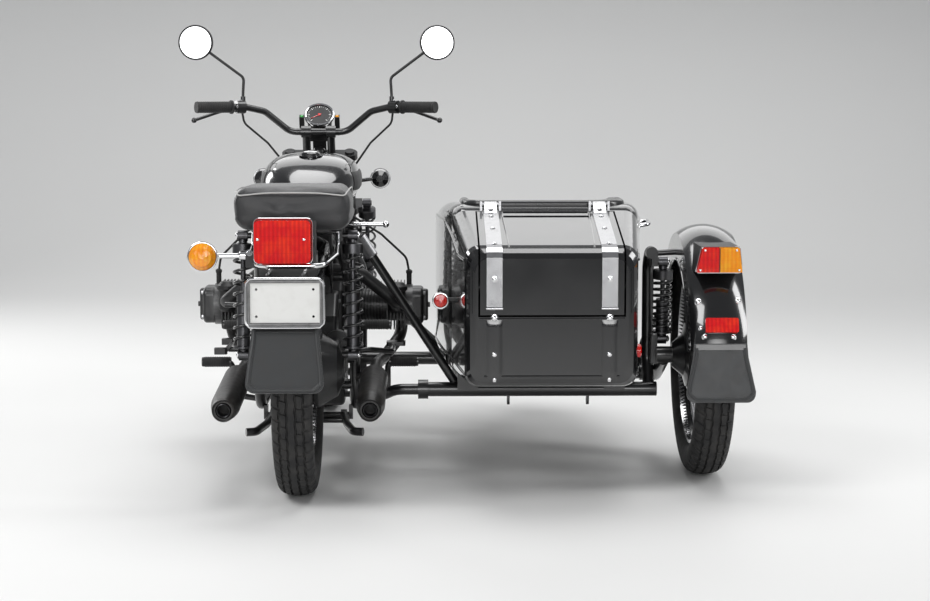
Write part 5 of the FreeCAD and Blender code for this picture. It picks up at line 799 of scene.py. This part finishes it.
def studs(name, finish, body, places, node=None, six=False):
    """Bolt heads: each a ray start or place in millimetres, a direction, and a head radius."""
    made = Build()
    for start, way, radius in places:
        axis = -Vector(way).normalized()
        place = at(*start)
        if node:
            place, _ = touch(node, start, way)
            if place is None:
                continue
        place = place - axis * 0.0006
        if six:
            made.hexagon(place, axis, radius / 1000, radius * 1.1 / 1000)
            washer = radius * 1.35 / 1000
            made.lathe([(0, washer), (0.0014, washer), (0.0015, 0.0)], place, axis, 18)
        else:
            made.dome(place, axis, radius / 1000)
    return made.make(name, finish, body)


def ring_piece(name, outline, start, axis, finish, body="chassis", sides=40):
    """A turned piece: (along, radius) pairs in millimetres."""
    made = Build().lathe([(a / 1000, r / 1000) for a, r in outline], start, axis, sides)
    return made.make(name, finish, body)


def bezel(name, outline, start, axis, finish, body="chassis", sides=48):
    """A turned hollow ring: its closed section as (along, radius) pairs in millimetres."""
    made = Build().lathe([(a / 1000, r / 1000) for a, r in outline], start, axis, sides, closed=True)
    return made.make(name, finish, body, sharp=40)


# The sidecar's tail: strap bolts, ribs and beads

def side_bead_height(y):
    """The upper bead lies level round the tail, rises past the cockpit and falls along the nose."""
    if y < 0:
        return 660
    return 660 + 70 * min(y / 300, 1) - max(0, y - 620) * 0.205


def sidecar_tail():
    """Strap bolts, ribs with their bolts, and the beads on the boot lid and the body."""
    strap_foot = [(-22, 2.6), (-22, 4.2), (22, 4.2), (22, 2.6)]
    for side, word in SIDES:
        x = SIDECAR_X + side * STRAP_OFFSET
        strap_bolts = from_behind(6.2, (x, 612)) + [((x, y, ABOVE), -UP, 6.2) for y in (-148, -10, 102, 150)]
        studs(f"strap_bolts_{word}", CHROME, "lid", strap_bolts, "lid_straps")
        ends = (x, BEHIND, 503), (x, BEHIND, 334)
        band(f"body_rib_{word}", "sidecar_body", ends, 21, 18, FORWARD, 3.6, GLOSS)
        rib_bolts = from_behind(8.0, (x, 508), (x, 411)) + from_behind(6.4, (x, 345))
        studs(f"rib_bolts_{word}", CHROME, "chassis", rib_bolts, "sidecar_body")
        line = [(x - side * (30 + 0.03 * (150 - y)), y, ABOVE) for y in spread(150, -168, 30)]
        bead(f"lid_line_{word}", "boot_lid", line, -UP, 2.4, GLOSS, "lid")
        ring_piece(f"strap_foot_{word}", strap_foot, at(x, -193, 534), RIGHT, STRAP, "lid", 16)
    for number, y in enumerate((152, 112)):
        cross = [(x, y, ABOVE) for x in spread(566, 804, 24)]
        bead(f"lid_cross_bead_{number}", "boot_lid", cross, -UP, 2.4, GLOSS, "lid")
    edge = [(x, BEHIND, 506.5) for x in spread(492, 878, 20)]
    bead("lid_edge_back", "sidecar_body", edge, FORWARD, 2.4, GLOSS)
    lower = [(x, BEHIND, 352) for x in spread(505, 865, 20)]
    bead("tail_bead_low", "sidecar_body", lower, FORWARD, 2.8, GLOSS)
    for side, word in SIDES:
        x = SIDECAR_X + side * BESIDE
        low = [(x, y, 352 + max(0.0, (y - 1000) * 0.14)) for y in spread(-150, 1330, 60)]
        bead(f"side_bead_low_{word}", "sidecar_body", low, -side * RIGHT, 3.2, GLOSS)
        high = [(x, y, side_bead_height(y)) for y in spread(-150, 1340, 60)]
        bead(f"side_bead_high_{word}", "sidecar_body", high, -side * RIGHT, 3.6, GLOSS)
        corner = [(SIDECAR_X + side * 213, BEHIND, z) for z in spread(520, 640, 10)]
        bead(f"tail_corner_{word}", "sidecar_body", corner, FORWARD, 2.2, GLOSS)


# Lamps

def tail_lamp_details():
    """The lamp's bright edge and the screws and bolts that hold it."""
    edge = [at(TAIL_LAMP_X + x, -287.5, TAIL_LAMP_Z + z) for x, z in rounded_rect(75.6, 58, 14, 8)]
    Build().sweep(edge, 0.0022, 10, True).make("tail_lamp_edge", CHROME, "chassis")
    studs("tail_lamp_screws", CHROME, "chassis", from_behind(4.2, (-81, 729), (38, 729)), "red_lenses")
    studs("tail_lamp_bolts", CHROME, "chassis", from_behind(7.0, (-62, 652), (36, 652)), "plate_holder")


def turn_lamp_details():
    """The block, stalk and rim of the turn lamp on the left, and its clamp's bolts."""
    block = [(0, 10), (2, 12.8), (28, 12.8), (30, 10), (30.1, 0)]
    ring_piece("turn_lamp_block", block, at(-137, -223, 679), RIGHT, CHROME)
    edge = [(-5, 37.2), (-5, 39.6), (2.5, 39.6), (3.5, 38), (3.5, 36.4)]
    bezel("turn_lamp_edge", edge, at(-231, -250, 678), -FORWARD, CHROME)
    stalk = [(0, 9), (9, 9), (10, 6.8), (78, 6.8), (79, 9.5), (90, 9.5)]
    ring_piece("turn_lamp_stalk", stalk, at(-212, -223, 678), RIGHT, CHROME)
    bolts = from_behind(6.5, (-110, 688), (-94, 661))
    studs("turn_lamp_clamp", CHROME, "chassis", bolts, "lamp_housings", six=True)


def side_lamp_details():
    """Edges, seam and screws of the lamp pod and the reflector on the sidecar's fender."""
    reflector = [(1153 + x, BEHIND, 478 + z) for x, z in rounded_rect(42, 17, 4, 4)]
    spots = [touch("red_lenses", start, FORWARD)[0] for start in reflector]
    if all(spots):
        edge = [spot - FORWARD * 0.0006 for spot in spots]
        Build().sweep(edge, 0.0022, 8, True).make("reflector_edge", TRAY, "chassis")
    pod = [(-64, -36), (64, -36), (56, 34), (-48, 34)]
    spots = along_edges(pod, (0.06, 0.35, 0.65, 0.94))
    loop = [at(SIDE_AXLE_X + x, -41.5, SIDE_LAMP_Z + z) for x, z in spots]
    Build().sweep(loop, 0.0021, 8, True).make("side_lamp_edge", CHROME, "chassis")
    red = from_behind(3.6, (SIDE_AXLE_X - 53, 622), (SIDE_AXLE_X - 40, 676))
    studs("side_lamp_screws", CHROME, "chassis", red, "red_lenses")
    amber = from_behind(3.6, (SIDE_AXLE_X + 53, 622), (SIDE_AXLE_X + 46, 676))
    studs("side_lamp_screws_amber", CHROME, "chassis", amber, "amber_lenses")
    seam = [at(SIDE_AXLE_X - 0.1, -58.6, SIDE_LAMP_Z + z) for z in (-34, 32)]
    Build().sweep(seam, 0.0012, 6).make("side_lamp_seam", PLASTIC, "chassis")
    marker = [(-6, 21.5), (-6, 23.6), (2, 23.6), (3, 22), (3, 19.4)]
    bezel("marker_edge", marker, at(391, 100, 523), -FORWARD, CHROME)


def front_lamp_details():
    """Bright rims of the headlamp and of the front turn lamps."""
    rim = [(0, 88), (0, 91.5), (8, 92), (13, 89), (14, 84), (11, 84), (9, 88)]
    bezel("headlamp_rim", rim, at(0, 1370, 808), FORWARD, CHROME, "steering", 64)
    edge = [(-4, 32), (-4, 34.2), (2, 34.2), (3, 33), (3, 31.2)]
    for side, word in SIDES:
        bezel(f"front_turn_edge_{word}", edge, at(side * 196, 1290, 806), FORWARD, CHROME, "steering")


# Plate, flaps and fender edges

def plate_details():
    """The holder's bright frame and grey lip. Its bracket behind is painted like the motorcycle's frame."""
    half, tall, chamfer = 100, 63, 12
    x, z = half - chamfer, tall - chamfer
    outline = [(-half, -z), (-x, -tall), (x, -tall), (half, -z), (half, z), (x, tall), (-x, tall),
               (-half, z)]
    loop = [at(PLATE_X + x, -368.4, PLATE_Z + z) for x, z in along_edges(outline, (0.1, 0.5, 0.9))]
    Build().sweep(loop, 0.0034, 10, True).make("plate_frame_edge", CHROME, "chassis")
    holder = NODES["plate_holder"]
    holder.data.materials.append(FRAME_PAINT)
    tray_front, margin = -355, 2
    for face in holder.data.polygons:
        spot = (holder.matrix_world @ face.center - STEP) * 1000
        beside = abs(spot.x - PLATE_X) > half + margin or abs(spot.z - PLATE_Z) > tall + margin
        if beside or spot.y > tray_front:
            face.material_index = 1
    lip = [at(PLATE_X + x, -367.2, PLATE_Z + z) for x, z in rounded_rect(92.5, 55.5, 6, 5)]
    Build().sweep(lip, 0.0026, 8, True).make("plate_frame_lip", TRAY, "chassis")


def on_flap(middle, angle, x, z, out):
    """A place on a mud flap's rear face: across, along it upwards, and out from it, in millimetres."""
    a = math.radians(angle)
    y = -(FLAP_FACE + out)
    return at(middle[0] + x, middle[1] + y * math.cos(a) + z * math.sin(a),
              middle[2] - y * math.sin(a) + z * math.cos(a))


def flap_details(name, middle, angle, top_half, low_half, height):
    """A raised border round a mud flap's sides and foot, and the metal strip that holds its top."""
    side = [(6 - top_half, 6), (5 - top_half, -20), (8 - low_half, 34 - height),
            (13 - low_half, 20 - height), (24 - low_half, 10 - height), (38 - low_half, 8 - height)]
    path = side + [(0, 8 - height)] + [(-x, z) for x, z in reversed(side)]
    points = smooth_path([on_flap(middle, angle, x, z, 0.6) for x, z in path], 6)
    Build().sweep(points, 0.0050, 10).make(f"{name}_border", FLAP, "chassis")
    end = top_half - 4
    corners = [on_flap(middle, angle, x, z, 0.0) for x, z in ((-end, 0), (end, 0), (end, 16), (-end, 16))]
    a = math.radians(angle)
    normal = Vector((0, -math.cos(a), math.sin(a)))
    Build().slab(corners, normal, 0.0022).make(f"{name}_strip", FRAME_PAINT, "chassis", bevel=0.0006)


def fender_edges(name, wheel, half, radius, begin, sweep, body, size):
    """A rolled edge along both sides of a fender, whose angles are in degrees up from straight ahead."""
    middle = WHEELS[wheel][0] + STEP
    angles = [math.radians(a) for a in spread(begin + 0.4, begin + sweep - 0.4, 48)]
    for side, word in SIDES:
        path = [middle + Vector((side * half, math.cos(a) * radius, math.sin(a) * radius)) / 1000
                for a in angles]
        Build().sweep(path, size / 1000, 8).make(f"{name}_edge_{word}", GLOSS, body)


def fender_details():
    """Edges of the three fenders and the bolts on two of them."""
    fender_edges("rear_fender", "rear", 79, 320.5, 40, 117.5, "chassis", 3.0)
    fender_edges("front_fender", "front", 71, 326.5, 30, 158, "steering", 3.0)
    fender_edges("side_fender", "sidecar", 76, 278.5, 14, 156.5, "chassis", 4.4)
    side_bolts = (from_behind(8.0, (1094, 532), (1202, 534)) + from_behind(5.5, (1097, 464))
                  + from_behind(7.0, (1107, 442), (1184, 441)))
    studs("side_fender_bolts", CHROME, "chassis", side_bolts, "sidecar_fender")
    rear_bolts = from_behind(5.0, (60, 640), (60, 505), (-60, 640), (-60, 505))
    studs("rear_fender_bolts", CHROME, "chassis", rear_bolts, "rear_fender")


# Wheels, suspension and engine

def wheel_finishes(wheel, centre):
    """Paints a wheel's hub, spokes and rim edges, told apart by their distance from the axle."""
    hub_reach, spoke_reach, rim_half = 0.1045, 0.2395, 0.031
    mesh, matrix = wheel.data, wheel.matrix_world
    for finish in (SPOKE, HUB, LIP):
        mesh.materials.append(finish)
    index = [0] * len(mesh.polygons)
    for i, face in enumerate(mesh.polygons):
        p = matrix @ face.center - centre
        reach = math.hypot(p.y, p.z)
        if reach < hub_reach:
            index[i] = 2
        elif reach < spoke_reach:
            index[i] = 1
        elif abs(p.x) > rim_half:
            index[i] = 3
    mesh.polygons.foreach_set("material_index", index)


def wheel_details():
    """Finishes, spoke nipples and a valve on each wheel."""
    spokes, rim_inside, stagger = 40, 0.2372, 0.006
    nipple = [(0, 0.0034), (0.010, 0.0030), (0.012, 0.0018), (0.0121, 0)]
    valve = [(0, 0.006), (0.006, 0.0055), (0.007, 0.0035), (0.030, 0.0035), (0.031, 0.0045), (0.040, 0.0042),
             (0.041, 0)]
    for word, (middle, body) in WHEELS.items():
        centre = middle + STEP
        wheel_finishes(NODES[f"{word}_wheel"], centre)
        made = Build()
        for k in range(spokes):
            a = 2 * math.pi * (k + 0.5) / spokes
            out = Vector((0, math.cos(a), math.sin(a)))
            aside = RIGHT * (stagger if k % 2 else -stagger)
            made.lathe(nipple, centre + out * rim_inside + aside, -out, 8)
        made.make(f"{word}_nipples", STEEL, body)
        stem = centre + Vector((0.004, 0, -0.238))
        Build().lathe(valve, stem, (0.12, 0, 1), 14).make(f"{word}_valve", RUBBER, body)


def strut_thread(name, top, low):
    """The threaded end of an upper strut, near its top."""
    outline = [(28, 17.2)]
    for k in range(16):
        outline += [(28 + k * 4, 17.2), (30 + k * 4, 18.4)]
    outline += [(94, 17.2)]
    ring_piece(name, outline, top, (low - top).normalized(), STEEL, "chassis", 24)


def run_details():
    """Nuts on the dampers' studs and axles, and threads on the struts."""
    nuts = [((side * 165.5, y, z), (-side, 0, 0), 9) for side in (1, -1) for y, z in ((0, 385), (20, 712))]
    studs("damper_nuts", CHROME, "chassis", nuts)
    side_nuts = [((1053, 324, 386), -RIGHT, 8.5), ((1051.5, 304, 612), -RIGHT, 8.5)]
    studs("side_damper_nuts", CHROME, "chassis", side_nuts)
    strut_thread("strut_thread_rear", at(146, 262, 712), at(446, 356, 236))
    strut_thread("strut_thread_front", at(176, 1095, 460), at(446, 940, 236))
    made = Build()
    made.hexagon(at(SIDE_AXLE_X + 65.8, SIDE_AXLE_Y, AXLE_Z), RIGHT, 0.0135, 0.013)
    made.make("side_axle_nut", CHROME, "chassis")
    made = Build()
    for side in (1, -1):
        made.hexagon(at(side * 141.5, FRONT_AXLE_Y, AXLE_Z), side * RIGHT, 0.012, 0.012)
    made.make("front_axle_nuts", CHROME, "steering")


def bolt_on(made, node, start, way, radius, height, sink=0.0, facing=0.9):
    """A six-sided bolt head where a ray meets a node, if the surface there faces the ray enough."""
    place, normal = touch(node, start, way)
    if place is not None and abs(normal.dot(way)) > facing:
        made.hexagon(place + way * sink, -way, radius, height)


def engine_bolts():
    """Bolts round the rocker covers, the case and the gearbox."""
    made = Build()
    for side, y in ((1, 745), (-1, 780)):
        for dy, dz in ((46, 40), (46, -36), (-46, 40), (-46, -36)):
            start = (side * BESIDE, y + dy, 440 + dz)
            bolt_on(made, "rocker_covers", start, -side * RIGHT, 0.0062, 0.0065, 0.001, 0.0)
    made.make("rocker_bolts", STEEL, "chassis")
    made = Build()
    cover_y, cover_z, bolt_circle, count = 685, 235, 62, 10
    for side in (1, -1):
        for k in range(count):
            a = 2 * math.pi * (k + 0.5) / count
            start = (side * BESIDE, cover_y + bolt_circle * math.cos(a), cover_z + bolt_circle * math.sin(a))
            bolt_on(made, "engine_case", start, -side * RIGHT, 0.0058, 0.006, 0.001)
    for x, z in ((-70, 170), (70, 170), (-70, 330), (70, 330), (-70, 480), (70, 480), (0, 165)):
        bolt_on(made, "engine_case", (x, 1300, z), -FORWARD, 0.0058, 0.006)
    for x, z in ((-62, 240), (62, 240), (-62, 470), (62, 470), (-62, 360)):
        bolt_on(made, "gearbox", (x, 200, z), FORWARD, 0.0058, 0.006)
    for side in (-1, 1):
        for y, z in ((450, 245), (580, 245), (450, 470), (580, 470)):
            bolt_on(made, "gearbox", (side * 300, y, z), -side * RIGHT, 0.0058, 0.006)
    made.make("case_bolts", STEEL, "chassis")


def muffler_details():
    """A rolled end, an outlet and a clamp on each muffler, which slopes down a little to the back."""
    slope, length = math.radians(3.4), 0.495
    way = Vector((0, -math.cos(slope), -math.sin(slope)))
    rolled = [(-12, 26), (-3, 31.8), (1.5, 31.2), (3, 29.5), (-5, 21), (-14, 18)]
    outlet = [(-24, 15.4), (-1, 15.4), (0.6, 16.6), (1.4, 17.6), (0.6, 18.6), (-16, 18.6), (-24, 18.6)]
    for side, word in SIDES:
        start = at(side * 198, 395, 276)
        bezel(f"muffler_end_{word}", rolled, start + way * length, way, HEAT)
        bezel(f"muffler_outlet_{word}", outlet, start + way * length, way, DARK_STEEL)
        bezel(f"muffler_clamp_{word}", [(8, 21), (8, 24), (20, 24), (20, 21)], start, way, STEEL)


# Controls and the rider's places

def ribbed(name, start, way, radius, length, pitch, body):
    """A rubber sleeve with ribs across it, with its sizes in millimetres."""
    low = radius - 0.9
    outline = [(0, radius - 1)]
    for k in range(int(length / pitch)):
        rib = k * pitch
        outline += [(rib + 0.2, radius), (rib + pitch * 0.55, radius), (rib + pitch * 0.6, low),
                    (rib + pitch * 0.95, low)]
    outline += [(length, radius - 1)]
    return ring_piece(name, outline, start, way, GRIP, body, 28)


def control_details():
    """Ribs on grips and pegs, rims of the mirrors and the switches' knobs."""
    grip_end, grip_root = at(378, 966, 1048), at(232, 1046, 1048)
    way = (grip_end - grip_root).normalized()
    grip = grip_end - way * 0.110 - STEP
    mirror_rim = [(-2.4, 50.5), (-3.2, 53), (-1, 56), (8, 56), (10, 54.5), (10, 53), (0, 53)]
    for side, word in SIDES:
        start = Vector((side * grip.x, grip.y, grip.z)) + STEP
        ribbed(f"grip_ribs_{word}", start, Vector((side * way.x, way.y, way.z)), 18.3, 106, 6.6, "steering")
        ribbed(f"peg_rubber_{word}", at(side * 242, 540, 290), side * RIGHT, 15.6, 80, 7, "chassis")
        ribbed(f"pillion_rubber_{word}", at(side * 168, 398, 420), side * RIGHT, 14.6, 74, 7, "chassis")
        bezel(f"mirror_rim_{word}", mirror_rim, at(side * 387, 1022, 1254), (-0.10 * side, 1, 0), PLASTIC,
              "steering", 56)
        knobs = Build()
        knobs.dome(at(side * 246, 1037, 1069), UP, 0.0045)
        knobs.dome(at(side * 252, 1020, 1050), -FORWARD, 0.005)
        knobs.make(f"switch_knobs_{word}", STEEL, "steering")


def gauge_details():
    """Dial, rim, 25 marks over three quarters of a turn, needle, and a light on each side."""
    lean = (STEER_AHEAD * -0.34 + STEER_UP * 0.94).normalized()
    high = lean.cross(RIGHT).normalized()
    centre = steer(0, 92, 70)
    face = centre + lean * 0.0692
    ring_piece("gauge_dial", [(68.2, 41.6), (69.0, 41.6), (69.01, 0)], centre, lean, DIAL, "steering", 48)
    rim = [(70, 42), (72.4, 43), (73.6, 46), (72.6, 48.6), (62, 48.8), (61, 48)]
    bezel("gauge_rim", rim, centre, lean, CHROME, "steering", 56)

    def blade(made, degrees, inner, outer, wide, tip, thick):
        """A flat mark on the dial, from one radius to another, with its half widths at both ends."""
        a = math.radians(degrees)
        out = RIGHT * math.cos(a) + high * math.sin(a)
        side = out.cross(lean)
        made.slab([face + out * inner + side * wide, face + out * outer + side * tip,
                   face + out * outer - side * tip, face + out * inner - side * wide], lean, thick)

    marks = Build()
    for k in range(25):
        inner, wide = (0.031, 0.0010) if k % 4 == 0 else (0.034, 0.0005)
        blade(marks, 225 - 270 * k / 24, inner, 0.0385, wide, wide, 0.0003)
    marks.make("gauge_marks", MARKS, "steering")
    needle = Build()
    blade(needle, 212, -0.008, 0.033, 0.0016, 0.0004, 0.0012)
    needle.lathe([(0, 0.005), (0.002, 0.005), (0.003, 0.003), (0.0031, 0)], face, lean, 20)
    needle.make("gauge_needle", RED, "steering")
    for (side, word), finish in zip(SIDES, (AMBER, GREEN)):
        light = Build().dome(steer(side * 58, 72, 127.6), STEER_UP, 0.0056)
        light.make(f"gauge_light_{word}", finish, "steering")


def tank_details():
    """Knee pads, seams and the filler cap with its flange."""
    cap = [(0, 32), (6, 32.6), (8, 31), (12, 30.5), (22, 28), (27, 20), (29, 8), (29.5, 0)]
    for side, word in SIDES:
        way = -side * RIGHT
        grid = [[(side * 400, 560 + 230 * s + 14 * (t - 0.5), 806 + 54 * t) for s in spread(0, 1, 15)]
                for t in spread(0, 1, 9)]
        patch(f"knee_pad_{word}", "fuel_tank", grid, way, 4.5, RUBBER)
        seam = [(side * 400, y, 786) for y in spread(520, 980, 36)]
        bead(f"tank_seam_{word}", "fuel_tank", seam, way, 2.2, GLOSS)
    ring_piece("tank_cap", cap, at(0, 640, 893), UP, CHROME, "chassis", 48)
    ring_piece("cap_flange", [(0, 38), (3, 38), (4, 34), (4, 0)], at(0, 640, 905), UP, GLOSS, "chassis", 48)


def cockpit_details():
    """A grab rail at the front of the cockpit, and a mat on its floor."""
    rail = [(560, 772, 738), (566, 756, 716), (600, 748, 706), (685, 746, 703), (770, 748, 706),
            (804, 756, 716), (810, 772, 738)]
    Build().sweep(smooth_path([at(*p) for p in rail], 6), 0.0075, 12).make("grab_rail", CHROME, "chassis")
    corners = [at(500, 700, 304.6), at(870, 700, 304.6), at(842, 1080, 308), at(528, 1080, 308)]
    Build().slab(corners, UP, 0.005).make("floor_mat", RUBBER, "chassis", bevel=0.002)


sidecar_tail()
tail_lamp_details()
turn_lamp_details()
side_lamp_details()
front_lamp_details()
plate_details()
flap_details("rear_flap", (PLATE_X, 0, AXLE_Z), 22.5, 86, 100, 160)
flap_details("side_flap", (SIDE_AXLE_X, SIDE_AXLE_Y, AXLE_Z), 9.5, 72, 94, 142)
fender_details()
wheel_details()
run_details()
engine_bolts()
muffler_details()
control_details()
gauge_details()
tank_details()
cockpit_details()


def stage():
    """Pale floor that sweeps up behind, and soft lights."""
    half, bend, top, count = 9.0, 4.0, 9.0, 24
    rows = []
    for i in range(count):
        t = i / (count - 1)
        if t < 0.5:
            y, z = -half + t * 2 * (half + bend), 0.0
        else:
            a = (t - 0.5) * math.pi
            y, z = bend + bend * math.sin(a), bend * (1 - math.cos(a))
        rows.append([Vector((x, y, z)) for x in (-half, half)])
    rows.append([Vector((x, 2 * bend, top)) for x in (-half, half)])
    mesh = bpy.data.meshes.new("floor")
    mesh.from_pydata([tuple(c) for row in rows for c in row], [],
                     [(2 * i, 2 * i + 1, 2 * i + 3, 2 * i + 2) for i in range(len(rows) - 1)])
    floor = bpy.data.objects.new("floor", mesh)
    bpy.context.scene.collection.objects.link(floor)
    mesh.polygons.foreach_set("use_smooth", [True] * len(mesh.polygons))
    f = Finish("pale_floor", (0.78, 0.78, 0.77), 0.55)
    f.gloss(f.noise(0.4, 3.0), 0.5, 0.62)
    floor.data.materials.append(f.tint(f.noise(1.2, 3.0).over(0.4, 0.8) * 0.3, (0.74, 0.74, 0.735)).material)
    world = bpy.data.worlds.new("studio")
    bpy.context.scene.world = world
    world.use_nodes = True
    world.node_tree.nodes["Background"].inputs[0].default_value = (0.94, 0.96, 1.0, 1)
    world.node_tree.nodes["Background"].inputs[1].default_value = 0.24
    for name, place, aim, wide, tall, power, cone in (
            ("key", (-2.6, -3.2, 3.6), (0.0, -0.3, 0.5), 2.2, 1.6, 95, 180),
            ("right", (4.0, -1.2, 2.4), (0.3, 0.0, 0.5), 0.9, 2.6, 65, 180),
            ("overhead", (0.2, 0.4, 4.2), (0.0, 0.0, 0.6), 3.4, 2.2, 105, 180),
            ("far", (0.2, 5.6, 4.4), (0.0, 0.0, 0.5), 9.0, 3.4, 105, 180),
            ("near", (0.2, -9.0, 2.2), (0.2, 0.0, 1.6), 10.0, 2.6, 60, 60),
            ("far_left", (-3.4, 2.6, 2.0), (0.0, 0.0, 0.7), 1.0, 2.2, 50, 180)):
        light = bpy.data.lights.new(name, "AREA")
        light.shape = "RECTANGLE"
        light.size, light.size_y, light.energy = wide, tall, power
        light.spread = math.radians(cone)
        obj = bpy.data.objects.new(name, light)
        obj.location = place
        obj.rotation_euler = (Vector(aim) - Vector(place)).to_track_quat("-Z", "Y").to_euler()
        obj.visible_camera = False
        bpy.context.scene.collection.objects.link(obj)


def camera():
    """The photograph's camera, as fitted to the sizes in it."""
    data = bpy.data.cameras.new("view")
    data.lens = 77.53
    data.sensor_width = 36.0
    data.clip_start, data.clip_end = 0.1, 60.0
    obj = bpy.data.objects.new("view", data)
    obj.location = at(357.8, -5456.9, 1139.2)
    obj.rotation_euler = (math.radians(90 - 6.323), 0.0, math.radians(-1.044))
    bpy.context.scene.collection.objects.link(obj)
    bpy.context.scene.camera = obj


stage()
camera()
bpy.context.scene.view_settings.view_transform = "Standard"
